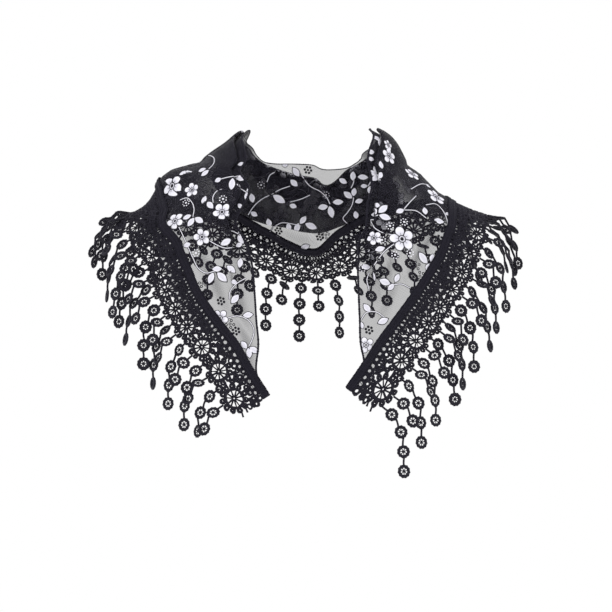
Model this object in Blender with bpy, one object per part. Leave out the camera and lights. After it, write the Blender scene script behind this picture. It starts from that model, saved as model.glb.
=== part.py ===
"""Lace shawl: a sheer triangle with a lace border and drops, kept in its worn form.

The long plain edge runs round the neck and down the two fronts. The two short edges carry a
braid, a border of medallions and a fringe of drops. X runs across the shoulders, -Y is the
front and Z is up. The origin is the middle of the neck, at the level where the shawl rests.
Sizes in the tables and constants are millimetres, and MM turns them into metres.
"""
import math

import bmesh
import bpy
import numpy as np
from mathutils import Vector

MM = 0.001

CLOTH_THICKNESS = 1.0
LACE_THICKNESS = 1.4
BRAID_THICKNESS = 1.4
BRAID_WIDTH = 9.0
BRAID_CLEAR = 6.0           # the lace runs flat under the braid this far out
DROP_THICKNESS = 1.6
SEAM_GAP = 0.4

FOLD_TURN = 4.0             # length of cloth in one turn of a fold
TURN_STEPS = 2
SHORT_TURN = 2.5           # the same turn as one straight step
LAYER_GAP = 1.0             # how far a fold's last layer runs on before it settles
SEAM_REST = 7.5             # width beside the braid where the cloth lies flat
FOLD_ROOM = 0.6             # folds may always take this share of a narrow section
REST_START = 0.85           # and the flat width beside the braid starts no earlier than this share
EASE_START = 0.25           # share of the room after a fold where the cloth starts to sink
BILLOW = 2.5                # soft waves of the cloth between its edge and the braid
BILLOW_LENGTH = 95.0
FULL_WIDTH = 90.0           # narrower sections billow less
NARROW_TIP = 5.0            # the cloth starts where its section is this long

REPEATS = 39                # medallions along the border
LACE_STEP = 4.0             # spacing of the points across the border
LACE_REACH = 13             # steps across the border and just past it
INNER_REACH = 2             # steps back under the cloth's edge
TANGENT_REACH = 7.0         # the braid's direction is taken over this length each way
BORDER_PEAK = 40.0          # border width at a medallion
BORDER_VALLEY = 35.0        # border width between two medallions
PITCH_LINE = 28.0           # distance from the braid where the medallions' spacing is measured
HALF_REPEAT = 14.0
GAP_HALF_WIDTH = 3.5        # the cut gap between two medallions
GAP_TOP = (22.5, 20.5)      # its upper side: at its corners, at its middle
GAP_FOOT = (28.0, 30.0)
WAVE_HEIGHT = 2.5
WAVE_LENGTH = 5.0           # one wave of the border, in half repeats

STRIP_WIDTH = 2.2           # the narrow strip that carries the drops
STRIP_GAP = 0.8
ROOT_HALF_WIDTH = 0.8
ROSETTE_RADIUS = 6.25
ROSETTE_FLAT = 2.6          # half length of a rosette's straight sides
ROSETTE_WIDTH = 12.0
THREAD_WIDTH = 1.6
FIRST_THREAD = 2.0
SHORT_DROP_LIFT = 6.0       # short drops hang in front of the long ones
ROSETTE_TWIST = math.radians(20)    # and all are turned a little, so that they pass each other
LONG_DROP = 4               # rosettes on the drop between two medallions
SHORT_DROP = 2              # rosettes on the drop of a medallion
END_DROPS = {2: 3}          # the left tail's first long drop is shorter, by place
LAST_ROOT = 0.3             # one more long drop hangs this many half repeats before the right end
DROP_PULL = (0.15, 0.5, 0.88, 1.0)  # how far each link has turned down under its weight
# Drops that pass a neighbour, by place: how far they lean along the border, and how much more
# they stand off
DROP_LEANS = {
    9: (-0.48, 0), 10: (-0.12, 2), 11: (-0.12, 0), 12: (0.18, 0), 14: (0.18, 0), 15: (-0.24, 4),
    16: (0.12, 9), 17: (0.12, 0), 19: (-0.36, 0), 20: (-0.18, 0), 23: (-0.18, 0), 59: (0.12, 0),
    60: (-0.18, 0), 62: (-0.12, 0), 63: (0.48, 0), 66: (-0.12, 0), 69: (0.36, 0), 70: (0, 2),
    72: (-0.12, 0),
}

# The hollow form: a general neck and shoulders, level by level.
# height, half width on the left, half width on the right, depth in front, depth behind
LEVELS = (
    (-320, 222, 218, 124, 138),
    (-180, 220, 216, 107, 134),
    (-130, 218, 214, 97, 127),
    (-110, 217, 213, 92, 117),
    (-90, 215, 212, 87, 99),
    (-64, 206, 202, 80, 85),
    (-55, 190, 186, 77, 82),
    (-48, 172, 169, 75, 79),
    (-37, 157, 146, 73, 76),
    (-26, 150, 131, 70, 72),
    (-20, 149, 120, 69, 70),
    (-15, 147, 114, 68, 68),
    (-9, 141, 104, 66, 66),
    (-5, 129, 99, 65, 65),
    (-2, 112, 96, 64, 64),
    (1, 103, 94, 64, 64),
    (9, 92, 90, 62, 63),
    (18, 78, 86, 61, 62),
    (26, 69, 80, 60, 60),
    (31, 62, 73, 59, 59),
    (35, 58, 62, 58, 58),
    (38, 55, 60, 58, 58),
    (60, 54, 57, 58, 58),
)
HEIGHT, LEFT, RIGHT, FRONT, BACK = range(5)
LEVEL_BLEND = 3             # heights are averaged this far up and down
BLEND_SAMPLES = 5
SECTION_POWER = 2.4         # 2 is an ellipse, more is squarer

# Stations along the braid, from the left tail over the neck to the right tail.
# side, plain edge (x, height), braid (x, height), fold start, depth and turn (degrees) of the
# first fold, depth and turn of the second, spacing of the rosettes on a drop, spacing of the
# medallions
STATIONS = (
    ("front", -38, -229, -38, -229, 8, 3, 0, 3, 0, 19, 30.5),
    ("front", -48, -204, -55, -202, 8, 3, 0, 3, 0, 19, 29),
    ("front", -46, -179, -68, -179, 8, 3, 0, 3, 0, 19, 27.5),
    ("front", -48, -155, -87, -155, 8, 3, 0, 3, 0, 19, 24),
    ("front", -50, -126, -106, -127, 8, 3, 10, 3, 0, 19, 19.5),
    ("front", -53, -98, -118, -99, 8, 3, 50, 3, 0, 19, 18),
    ("front", -61, -75, -130, -74, 8, 6, 140, 3, 0, 19, 18.3),
    ("front", -65, -49, -139, -49, 8, 12, 180, 3, 0, 19, 18.6),
    ("front", -61, -16, -143, -35, 9, 18, 180, 3, 0, 19, 21),
    ("front", -59, 10, -145, -25, 15, 18, 180, 3, 0, 18, 24),
    ("ridge", -57, 37, -147, -17, 15, 23, 180, 3, 0, 18, 25),
    ("back", -60, 24, -136, -24, 15, 26, 180, 3, 20, 18, 25),
    ("back", -55, 20, -121, -33, 10, 33, 180, 3, 110, 17, 25.5),
    ("back", -50, 12, -95, -41, 10, 35, 180, 14, 180, 16, 27),
    ("back", -43, 6, -68, -50, 10, 43, 180, 28, 180, 16, 30.5),
    ("back", -31, 4, -43, -63, 11, 49, 180, 30, 180, 16, 32),
    ("back", -14, 4, -19, -76, 13, 53, 180, 32, 180, 16, 28),
    ("back", 6, 3, 10, -84, 14, 54, 180, 32, 180, 16, 25),
    ("back", 22, -2, 37, -63, 11, 49, 180, 30, 180, 16, 27),
    ("back", 38, -1, 52, -54, 8, 42, 180, 28, 180, 16, 30),
    ("back", 50, 4, 81, -45, 8, 36, 180, 18, 180, 16, 31),
    ("back", 56, 9, 111, -38, 9, 34, 180, 4, 120, 17, 30),
    ("back", 62, 16, 134, -35, 16, 25, 180, 3, 50, 18, 28),
    ("ridge", 62, 37, 144, -35, 16, 22, 180, 3, 0, 18, 26.5),
    ("front", 62, 12, 144, -46, 16, 19, 180, 3, 0, 18, 22),
    ("front", 63, -10, 143, -56, 9, 22, 180, 3, 0, 19, 21),
    ("front", 60, -42, 141, -66, 8, 17, 180, 3, 0, 20, 20.8),
    ("front", 56, -69, 136, -79, 8, 12, 180, 3, 0, 20, 20.8),
    ("front", 51, -98, 124, -103, 8, 6, 130, 3, 0, 20, 20.3),
    ("front", 51, -127, 107, -129, 8, 3, 40, 3, 0, 20, 19.8),
    ("front", 52, -155, 88, -155, 8, 3, 0, 3, 0, 20, 20.8),
    ("front", 53, -179, 70, -179, 8, 3, 0, 3, 0, 20, 26),
    ("front", 56, -196, 61, -193, 8, 3, 0, 3, 0, 20, 32),
    ("front", 41, -222, 41, -222, 8, 3, 0, 3, 0, 20, 40),
)
CURVE_POINTS = 600          # points on the smooth curve through the stations
SPACING_POINTS = 160        # points used to space the medallions evenly
EDGE_POINTS = 24            # points on the line from the plain edge to the braid


def level_tables():
    """The form's sizes at every millimetre of height, with the corners between levels eased."""
    levels = np.array(LEVELS, dtype=float)
    heights = np.arange(levels[0, HEIGHT], levels[-1, HEIGHT] + 1)
    shifts = np.linspace(-LEVEL_BLEND, LEVEL_BLEND, BLEND_SAMPLES)
    tables = {HEIGHT: heights}
    for column in (LEFT, RIGHT, FRONT, BACK):
        shifted = [np.interp(heights + shift, levels[:, HEIGHT], levels[:, column]) for shift in shifts]
        tables[column] = np.mean(shifted, axis=0)
    return tables


TABLES = level_tables()


def level_size(column, height):
    return float(np.interp(height, TABLES[HEIGHT], TABLES[column]))


def form_point(around, height):
    """A point on the form: the angle is 0 at the right shoulder and a quarter turn at the back."""
    across = math.cos(around)
    along = math.sin(around)
    half_width = level_size(RIGHT if across > 0 else LEFT, height)
    depth = level_size(BACK if along > 0 else FRONT, height)
    power = 2 / SECTION_POWER
    x = math.copysign(half_width * abs(across) ** power, across)
    y = math.copysign(depth * abs(along) ** power, along)
    return Vector((x, y, height))


def form_reach(point):
    """1 on the form's surface, less inside it and more outside it."""
    half_width = level_size(RIGHT if point.x > 0 else LEFT, point.z)
    depth = level_size(BACK if point.y > 0 else FRONT, point.z)
    parts = abs(point.x / half_width) ** SECTION_POWER + abs(point.y / depth) ** SECTION_POWER
    return parts ** (1 / SECTION_POWER)


def form_slope(point):
    """How fast form_reach grows along each axis."""
    step = 0.5
    slope = []
    for axis in (Vector((step, 0, 0)), Vector((0, step, 0)), Vector((0, 0, step))):
        slope.append((form_reach(point + axis) - form_reach(point - axis)) / (2 * step))
    return Vector(slope)


def outward(point):
    return form_slope(point).normalized()


def settle(point):
    """The point brought straight onto the form's surface."""
    for _ in range(3):
        slope = form_slope(point)
        point = point - slope * ((form_reach(point) - 1) / slope.length_squared)
    return point


def station_angle(side, x, height):
    half_width = level_size(RIGHT if x > 0 else LEFT, height)
    swing = math.acos(min(1.0, abs(x) / half_width) ** (SECTION_POWER / 2))
    if side == "ridge":
        swing = 0.0
    turn = swing if side == "back" else -swing
    return turn if x > 0 else math.pi - turn


def smooth_values(knots, values, places):
    """A cubic curve through uneven knots, read at the given places."""
    slopes = np.gradient(values, knots, axis=0)
    spans = np.clip(np.searchsorted(knots, places, side="right") - 1, 0, len(knots) - 2)
    width = (knots[spans + 1] - knots[spans])[:, None]
    t = (places - knots[spans])[:, None] / width
    start = values[spans] * (2 * t**3 - 3 * t**2 + 1) + slopes[spans] * width * (t**3 - 2 * t**2 + t)
    end = values[spans + 1] * (3 * t**2 - 2 * t**3) + slopes[spans + 1] * width * (t**3 - t**2)
    return start + end


def lengths_along(points):
    steps = [0.0] + [(b - a).length for a, b in zip(points, points[1:])]
    return np.cumsum(steps)


class Route:
    """The braid's line, and everything that the stations say about it, by length along it."""

    def __init__(self):
        rows = []
        for side, edge_x, edge_z, braid_x, braid_z, *folds_and_pitch in STATIONS:
            edge = (station_angle(side, edge_x, edge_z), edge_z)
            braid = (station_angle(side, braid_x, braid_z), braid_z)
            rows.append((*edge, *braid, *folds_and_pitch))
        rows = np.array(rows)
        knots = lengths_along([form_point(row[2], row[3]) for row in rows])
        self.values = smooth_values(knots, rows, np.linspace(0, knots[-1], CURVE_POINTS))
        self.lengths = lengths_along([form_point(row[2], row[3]) for row in self.values])
        self.total = self.lengths[-1]

    def row(self, length):
        return [float(np.interp(length, self.lengths, column)) for column in self.values.T]

    def braid_point(self, length):
        row = self.row(length)
        return form_point(row[2], row[3])


class Column:
    """One cross line of the shawl: in from the braid to the plain edge, and out over the lace."""

    def __init__(self, route, length):
        row = route.row(length)
        self.turned = row[2]
        self.fold = row[4:9]
        self.rosette_pitch = row[9]
        self.edge_line = []
        for step in range(EDGE_POINTS + 1):
            share = step / EDGE_POINTS
            around = row[0] + (row[2] - row[0]) * share
            height = row[1] + (row[3] - row[1]) * share
            self.edge_line.append(form_point(around, height))
        self.edge_lengths = lengths_along(self.edge_line)
        self.width = float(self.edge_lengths[-1])
        fullness = min(1.0, self.width / FULL_WIDTH)
        self.swell = BILLOW * fullness * math.sin(2 * math.pi * length / BILLOW_LENGTH)
        self.edge_normals = [outward(point) for point in self.edge_line]
        ahead = route.braid_point(min(length + TANGENT_REACH, route.total))
        behind = route.braid_point(max(length - TANGENT_REACH, 0))
        along = (ahead - behind).normalized()
        self.border = self.border_line(self.edge_line[-1], along, LACE_STEP, LACE_REACH)
        self.inner = self.border_line(self.edge_line[-1], along, -LACE_STEP, INNER_REACH)

    def border_line(self, start, along, step, count):
        """Points stepped square to the braid over the form, away from the cloth."""
        line = [start]
        heading = outward(start).cross(along)
        for _ in range(count):
            normal = outward(line[-1])
            heading = (heading - normal * heading.dot(normal)).normalized()
            line.append(settle(line[-1] + heading * step))
        return line

    def cloth_point(self, across, lift):
        """A point across the cloth from its plain edge, lifted off the form."""
        position = float(np.interp(across, self.edge_lengths, np.arange(EDGE_POINTS + 1)))
        index = min(int(position), EDGE_POINTS - 1)
        share = position - index
        point = self.edge_line[index].lerp(self.edge_line[index + 1], share)
        normal = self.edge_normals[index].lerp(self.edge_normals[index + 1], share)
        billow = self.swell * math.sin(math.pi * across / self.width) ** 2
        return point + normal.normalized() * (lift + billow)

    def border_point(self, across):
        """A point on the border at a distance from the braid, and just inside it when negative."""
        line = self.border if across >= 0 else self.inner
        position = abs(across) / LACE_STEP
        index = min(int(position), len(line) - 2)
        return line[index].lerp(line[index + 1], position - index)


def spaced_columns(route):
    """Columns at every medallion and every valley, spaced there as the stations say."""
    lengths = np.linspace(0, route.total, SPACING_POINTS)
    line = [Column(route, length).border_point(PITCH_LINE) for length in lengths]
    spacing = np.array([route.row(length)[10] for length in lengths])
    steps = np.diff(lengths_along(line)) * 2 / (spacing[1:] + spacing[:-1])
    counts = np.concatenate([[0.0], np.cumsum(steps)])
    places = np.interp(np.linspace(0, counts[-1], 2 * REPEATS + 1), counts, lengths)
    return [Column(route, float(place)) for place in places]


def border_point(columns, place, across, lift=0.0):
    """A point of the border between two columns: place counts half repeats from the left tail."""
    index = min(int(place), len(columns) - 2)
    share = place - index
    point = columns[index].border_point(across).lerp(columns[index + 1].border_point(across), share)
    wave = WAVE_HEIGHT * max(0.0, across / BORDER_PEAK) ** 2
    wave *= math.sin(2 * math.pi * place / WAVE_LENGTH)
    return point + outward(point) * (lift + wave)


def section_path(width, fold):
    """Points (across, lift) of the cloth from its plain edge to the braid, with two flat folds."""
    start, depth_1, turn_1, depth_2, turn_2 = fold
    turn_1, turn_2 = min(turn_1, 180.0), min(turn_2, 180.0)
    points = [(0.0, 0.0)]
    heading = 0.0

    def run(length, steps):
        for _ in range(steps):
            across, lift = points[-1]
            share = length / steps
            points.append((across + share * math.cos(heading), lift + share * math.sin(heading)))

    def turn(degrees, length, steps):
        nonlocal heading
        for _ in range(steps):
            heading += math.radians(degrees) / steps / 2
            run(length / steps, 1)
            heading += math.radians(degrees) / steps / 2

    run(start, 1)
    run(depth_1, 2)
    turn(turn_1, FOLD_TURN, TURN_STEPS)
    run(depth_1, 2)
    turn(-turn_1, FOLD_TURN, TURN_STEPS)
    if turn_2 > 0:
        run(depth_2, 2)
        turn(turn_2, SHORT_TURN, 1)
        run(depth_2, 2)
        turn(-turn_2, SHORT_TURN, 1)
    farthest = max(across for across, _ in points)
    room = max(width - 2 * SEAM_REST, FOLD_ROOM * width)
    if farthest > room:
        squeeze = room / farthest
        points = [(across * squeeze, lift) for across, lift in points]
        farthest *= squeeze
    last, lift = points[-1]
    rest = max(width - SEAM_REST, REST_START * width)
    plateau = farthest + min(LAYER_GAP, EASE_START * (rest - farthest))
    points.append(((last + plateau) / 2, lift))
    for share, height in ((0.0, 1.0), (0.5, 0.5), (1.0, 0.0)):
        points.append((plateau + (rest - plateau) * share, lift * height))
    points.append((width - SEAM_GAP / 2, 0.0))
    return points


def material(name, color, roughness):
    made = bpy.data.materials.new(name)
    made.use_nodes = True
    shader = made.node_tree.nodes["Principled BSDF"]
    shader.inputs["Base Color"].default_value = (*color, 1)
    shader.inputs["Roughness"].default_value = roughness
    shader.inputs["Metallic"].default_value = 0
    return made


def solid_from_sheet(name, sheet, thickness, finish):
    """A named object: the sheet with its wall added evenly on both sides."""
    mesh = bpy.data.meshes.new(name)
    for vertex in sheet.verts:
        vertex.co *= MM
    sheet.to_mesh(mesh)
    sheet.free()
    made = bpy.data.objects.new(name, mesh)
    bpy.context.collection.objects.link(made)
    mesh.materials.append(finish)
    wall = made.modifiers.new("wall", "SOLIDIFY")
    wall.thickness = thickness * MM
    wall.offset = 0
    return made


def grid_sheet(lines, left_out=()):
    """A sheet of faces between lines of points; left_out holds (line, row) of faces to skip."""
    sheet = bmesh.new()
    rows = [[sheet.verts.new(point) for point in line] for line in lines]
    for line in range(len(rows) - 1):
        for row in range(len(rows[line]) - 1):
            if (line, row) not in left_out:
                here, there = rows[line], rows[line + 1]
                sheet.faces.new((here[row], there[row], there[row + 1], here[row + 1]))
    return sheet


def cloth_stretch(name, columns, first, last, second_fold, finish):
    """One stretch of the sheer cloth between two columns."""
    lines = []
    for index in range(first, last + 1):
        column = columns[index]
        if column.width < NARROW_TIP:
            continue
        fold = list(column.fold)
        fold[4] = max(fold[4], 1.0) if second_fold else 0.0
        if second_fold and index in (first, last):
            fold[4] = 1.0
        path = section_path(column.width, fold)
        lines.append([column.cloth_point(across, lift) for across, lift in path])
    trim_end(lines, 0, first > 0)
    trim_end(lines, -1, last < len(columns) - 1)
    solid_from_sheet(name, grid_sheet(lines), CLOTH_THICKNESS, finish)


def trim_end(lines, end, is_cut):
    """Draw one end line back by half the seam gap where another stretch meets it."""
    if is_cut:
        inner = lines[1] if end == 0 else lines[-2]
        lines[end] = [a + (b - a).normalized() * (SEAM_GAP / 2) for a, b in zip(lines[end], inner)]


def braid_stretch(name, columns, first, last, finish):
    """The braid that covers the seam between cloth and lace."""
    lift = (LACE_THICKNESS + BRAID_THICKNESS) / 2 + SEAM_GAP
    lines = []
    for place in range(first, last + 1):
        offsets = (-BRAID_WIDTH / 2, 0, BRAID_WIDTH / 2)
        lines.append([border_point(columns, place, offset, lift) for offset in offsets])
    trim_end(lines, 0, first > 0)
    trim_end(lines, -1, last < len(columns) - 1)
    solid_from_sheet(name, grid_sheet(lines), BRAID_THICKNESS, finish)


def border_width(place):
    """The scalloped border's width: widest at the medallions, which have odd places."""
    from_valley = min(place % 2, 2 - place % 2)
    return BORDER_VALLEY + (BORDER_PEAK - BORDER_VALLEY) * from_valley


def lace_stretch(name, columns, first, last, finish):
    """The lace border, with the gap between each two medallions cut through."""
    corner = GAP_HALF_WIDTH / HALF_REPEAT
    places = []
    for valley in range(first, last, 2):
        places += [valley, valley + corner, valley + 1, valley + 2 - corner]
    places.append(last)
    lines = []
    for place in places:
        middle = 1 if place % 2 == 0 else 0
        rows = (
            SEAM_GAP / 2,
            BRAID_CLEAR,
            GAP_TOP[middle],
            GAP_FOOT[middle],
            border_width(place),
        )
        gap_row = rows.index(GAP_TOP[middle])
        lines.append([border_point(columns, place, row) for row in rows])
    trim_end(lines, 0, first > 0)
    trim_end(lines, -1, last < len(columns) - 1)
    gaps = set()
    for line, place in enumerate(places[:-1]):
        beside_valley = place % 2 == 0 or place % 2 > 1
        at_left_tail = place == 0
        at_right_tail = place > len(columns) - 2
        if beside_valley and not (at_left_tail or at_right_tail):
            gaps.add((line, gap_row))
    solid_from_sheet(name, grid_sheet(lines, gaps), LACE_THICKNESS, finish)


def drop_path(start, lead, lean, lift, rosettes, pitch):
    """Centres and directions of a drop's rosettes, which hang over the form's surface."""
    down = Vector((0, 0, -1))
    centres = []
    point = start
    for index in range(rosettes):
        pull = DROP_PULL[index]
        heading = (lead * (1 - pull) + down * pull + lean).normalized()
        step = FIRST_THREAD + ROSETTE_RADIUS if index == 0 else pitch
        target = point + heading * step
        floor = target - outward(target) * lift
        if index == 0 or form_reach(floor) < 1:
            target = settle(floor)
            target = target + outward(target) * lift
        heading = (target - point).normalized()
        point = point + heading * step
        centres.append((point, heading))
    return centres


def add_drop(sheet, root, lead, lean, lift, rosettes, pitch):
    """One drop: a thread with rosettes, grown from the root edge of the strip."""
    left, right = root
    start = (left.co + right.co) / 2
    profile = (
        (-ROSETTE_RADIUS, THREAD_WIDTH),
        (-ROSETTE_FLAT, ROSETTE_WIDTH),
        (ROSETTE_FLAT, ROSETTE_WIDTH),
        (ROSETTE_RADIUS, THREAD_WIDTH),
    )
    root_line = (right.co - left.co).normalized()
    twist = -ROSETTE_TWIST if start.x > 0 and start.y < 0 else ROSETTE_TWIST
    path = drop_path(start, lead, root_line * lean, lift, rosettes, pitch)
    for index, (centre, heading) in enumerate(path):
        flat = (root_line - heading * root_line.dot(heading)).normalized()
        across = flat * math.cos(twist) + heading.cross(flat) * math.sin(twist)
        for distance, width in profile if index else profile[1:]:
            middle = centre + heading * distance
            next_left = sheet.verts.new(middle - across * width / 2)
            next_right = sheet.verts.new(middle + across * width / 2)
            sheet.faces.new((left, right, next_right, next_left))
            left, right = next_left, next_right


def fringe_stretch(name, columns, first, last, finish):
    """A strip along the border's edge with its drops: long at valleys, short at medallions."""
    reach = ROOT_HALF_WIDTH / HALF_REPEAT
    spots = list(range(max(first, 1), last))
    if last == len(columns) - 1:
        spots.append(last - LAST_ROOT)
    places = []
    roots = {}
    for place in spots:
        roots[len(places)] = place
        places += [place - reach, place + reach]
    places.append(last - 2 * reach)
    lines = []
    for place in places:
        edge = border_width(place) + STRIP_GAP
        lines.append([border_point(columns, place, edge + extra) for extra in (0, STRIP_WIDTH)])
    sheet = grid_sheet(lines)
    strip = list(sheet.verts)
    for line, place in roots.items():
        inner, left, _, right = strip[2 * line:2 * line + 4]
        lead = (left.co - inner.co).normalized()
        is_long = place % 2 != 1
        lean, extra = DROP_LEANS.get(place, (0.0, 0.0))
        add_drop(
            sheet,
            (left, right),
            lead,
            lean,
            extra if is_long else SHORT_DROP_LIFT + extra,
            END_DROPS.get(place, LONG_DROP if is_long else SHORT_DROP),
            columns[int(place)].rosette_pitch,
        )
    solid_from_sheet(name, sheet, DROP_THICKNESS, finish)


def nearest_valley(columns, angle):
    """The even column closest to where the braid passes the given angle."""
    turned = [-column.turned for column in columns]
    return round(float(np.interp(-angle, turned, range(len(columns)))) / 2) * 2


def build():
    for old in list(bpy.data.objects):
        bpy.data.objects.remove(old)
    sheer = material("sheer mesh", (0.03, 0.03, 0.035), 0.8)
    lace = material("black lace", (0.012, 0.012, 0.015), 0.75)
    route = Route()
    columns = spaced_columns(route)
    end = len(columns) - 1
    left_ridge = nearest_valley(columns, math.pi)
    right_ridge = nearest_valley(columns, 0.0)
    stretches = (
        ("left_front", 0, left_ridge, False),
        ("back", left_ridge, right_ridge, True),
        ("right_front", right_ridge, end, False),
    )
    for side, first, last, second_fold in stretches:
        cloth_stretch("mesh_" + side, columns, first, last, second_fold, sheer)
        braid_stretch("braid_" + side, columns, first, last, lace)
        lace_stretch("lace_" + side, columns, first, last, lace)
        fringe_stretch("fringe_" + side, columns, first, last, lace)


build()
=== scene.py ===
import math
import random

import bpy
import numpy as np
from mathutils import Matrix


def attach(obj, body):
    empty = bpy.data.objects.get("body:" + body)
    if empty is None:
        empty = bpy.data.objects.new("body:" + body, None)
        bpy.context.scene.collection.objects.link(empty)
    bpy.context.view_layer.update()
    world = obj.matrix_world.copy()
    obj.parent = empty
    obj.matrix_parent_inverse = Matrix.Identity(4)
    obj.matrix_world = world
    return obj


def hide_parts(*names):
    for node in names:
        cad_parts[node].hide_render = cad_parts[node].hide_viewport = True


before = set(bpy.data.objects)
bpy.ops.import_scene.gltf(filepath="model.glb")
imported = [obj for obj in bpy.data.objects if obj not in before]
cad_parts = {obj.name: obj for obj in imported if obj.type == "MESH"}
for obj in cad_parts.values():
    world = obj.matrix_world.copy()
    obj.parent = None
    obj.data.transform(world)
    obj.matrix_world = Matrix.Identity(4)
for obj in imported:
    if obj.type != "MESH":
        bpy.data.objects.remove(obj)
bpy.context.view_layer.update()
mm = 0.001
rng = random.Random(7)

# The hollow form under the shawl, in mm: height, half widths left and right, depths front and back
form = {
    "levels": (
        (-320, 222, 218, 124, 138),
        (-180, 220, 216, 107, 134),
        (-130, 218, 214, 97, 127),
        (-110, 217, 213, 92, 117),
        (-90, 215, 212, 87, 99),
        (-64, 206, 202, 80, 85),
        (-55, 190, 186, 77, 82),
        (-48, 172, 169, 75, 79),
        (-37, 157, 146, 73, 76),
        (-26, 150, 131, 70, 72),
        (-20, 149, 120, 69, 70),
        (-15, 147, 114, 68, 68),
        (-9, 141, 104, 66, 66),
        (-5, 129, 99, 65, 65),
        (-2, 112, 96, 64, 64),
        (1, 103, 94, 64, 64),
        (9, 92, 90, 62, 63),
        (18, 78, 86, 61, 62),
        (26, 69, 80, 60, 60),
        (31, 62, 73, 59, 59),
        (35, 58, 62, 58, 58),
        (38, 55, 60, 58, 58),
        (60, 54, 57, 58, 58),
    ),
    "blend": 3,             # heights are blended over this much up and down
    "blendSteps": 5,
    "power": 2.4,           # 2 would make its sections ellipses
}

# Stations along the braid from the left tail to the right one: side, plain edge and braid as x and height,
# where the first fold starts, its depth and turn, depth and turn of the second, spacing of the rosettes on
# a drop, spacing of the medallions
stations = (
    ("front", -38, -229, -38, -229, 8, 3, 0, 3, 0, 18, 30.5),
    ("front", -48, -204, -55, -202, 8, 3, 0, 3, 0, 18, 29),
    ("front", -46, -179, -68, -179, 8, 3, 0, 3, 0, 18, 27.5),
    ("front", -48, -155, -87, -155, 8, 3, 0, 3, 0, 18, 24),
    ("front", -50, -126, -106, -127, 8, 3, 10, 3, 0, 18, 19.5),
    ("front", -53, -98, -118, -99, 8, 3, 50, 3, 0, 18, 18),
    ("front", -61, -75, -130, -74, 8, 6, 140, 3, 0, 18, 18.3),
    ("front", -65, -49, -139, -49, 8, 12, 180, 3, 0, 18, 18.6),
    ("front", -61, -16, -143, -35, 9, 18, 180, 3, 0, 18, 21),
    ("front", -60, 10, -145, -25, 9, 18, 180, 3, 0, 18, 24),
    ("ridge", -60, 34, -147, -17, 7, 25, 180, 3, 0, 18, 25),
    ("back", -60, 24, -136, -24, 6, 30, 180, 3, 20, 18, 25),
    ("back", -55, 20, -121, -33, 4, 40, 180, 3, 110, 17, 25.5),
    ("back", -50, 12, -95, -41, 3, 54, 180, 9, 180, 17, 27),
    ("back", -43, 6, -68, -51, 3, 61, 180, 13, 180, 17, 30.5),
    ("back", -31, 4, -43, -65, 7, 60, 180, 23, 180, 17, 32),
    ("back", -14, 4, -19, -78, 13, 55, 180, 32, 180, 17, 28),
    ("back", 6, 3, 10, -86, 17, 56, 180, 30, 180, 17, 25),
    ("back", 22, -2, 37, -65, 19, 42, 180, 30, 180, 17, 27),
    ("back", 38, -1, 52, -56, 6, 50, 180, 25, 180, 17, 30),
    ("back", 50, 4, 81, -46, 3, 51, 180, 14, 180, 17, 31),
    ("back", 56, 9, 111, -38, 4, 40, 180, 4, 120, 17, 30),
    ("back", 62, 17, 134, -35, 8, 30, 180, 3, 50, 18, 28),
    ("ridge", 62, 35, 144, -35, 7, 26, 180, 3, 0, 18, 26.5),
    ("front", 62, 12, 144, -46, 10, 22, 180, 3, 0, 18, 22),
    ("front", 63, -10, 143, -56, 9, 22, 180, 3, 0, 19, 21),
    ("front", 60, -42, 141, -66, 8, 17, 180, 3, 0, 19, 20.8),
    ("front", 56, -69, 136, -79, 8, 12, 180, 3, 0, 19, 20.8),
    ("front", 51, -98, 124, -103, 8, 6, 130, 3, 0, 19, 20.3),
    ("front", 51, -127, 107, -129, 8, 3, 40, 3, 0, 19, 19.8),
    ("front", 52, -155, 88, -155, 8, 3, 0, 3, 0, 19, 20.8),
    ("front", 53, -179, 70, -179, 8, 3, 0, 3, 0, 19, 26),
    ("front", 56, -196, 61, -193, 8, 3, 0, 3, 0, 19, 32),
    ("front", 41, -222, 41, -222, 8, 3, 0, 3, 0, 19, 40),
)

# What a row holds, once a station's two ends are angles round the form and heights
rowHas = {
    "edgeAngle": 0, "edgeHeight": 1, "braidAngle": 2, "braidHeight": 3,
    "folds": slice(4, 9), "turn": 6, "rosettes": 9, "medallions": 10,
}
# points along the braid, along its measured outer edge and on a cross line, and rounds of settling
fineness = {"route": 600, "samples": 160, "edgeLine": 25, "settling": 3}

levels = np.array(form["levels"], float)
levelHeights = np.arange(levels[0, 0], levels[-1, 0] + 1)


def easedSizes(sizes):
    shifts = np.linspace(-form["blend"], form["blend"], form["blendSteps"])
    return np.mean([np.interp(levelHeights + shift, levels[:, 0], sizes) for shift in shifts], axis=0)


leftSizes, rightSizes, frontSizes, backSizes = (easedSizes(sizes) for sizes in levels.T[1:])


def unit(vectors):
    return vectors / np.maximum(np.linalg.norm(vectors, axis=-1, keepdims=True), 1e-9)


def formSizes(x, y, height):
    left, right, front, back = (
        np.interp(height, levelHeights, sizes) for sizes in (leftSizes, rightSizes, frontSizes, backSizes)
    )
    return np.where(x > 0, right, left), np.where(y > 0, back, front)


def formPoint(around, height):
    across, along = np.cos(around), np.sin(around)
    width, depth = formSizes(across, along, height)
    bend = 2 / form["power"]
    x = np.sign(across) * width * np.abs(across) ** bend
    y = np.sign(along) * depth * np.abs(along) ** bend
    return np.stack([x, y, height + 0 * x], -1)


# 1 on the form, less inside it
def formReach(points):
    width, depth = formSizes(points[..., 0], points[..., 1], points[..., 2])
    power = form["power"]
    return (np.abs(points[..., 0] / width) ** power + np.abs(points[..., 1] / depth) ** power) ** (1 / power)


def formSlope(points):
    step = 0.5
    slopes = [formReach(points + axis) - formReach(points - axis) for axis in np.eye(3) * step]
    return np.stack(slopes, -1) / (2 * step)


def outward(points):
    return unit(formSlope(points))


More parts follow.
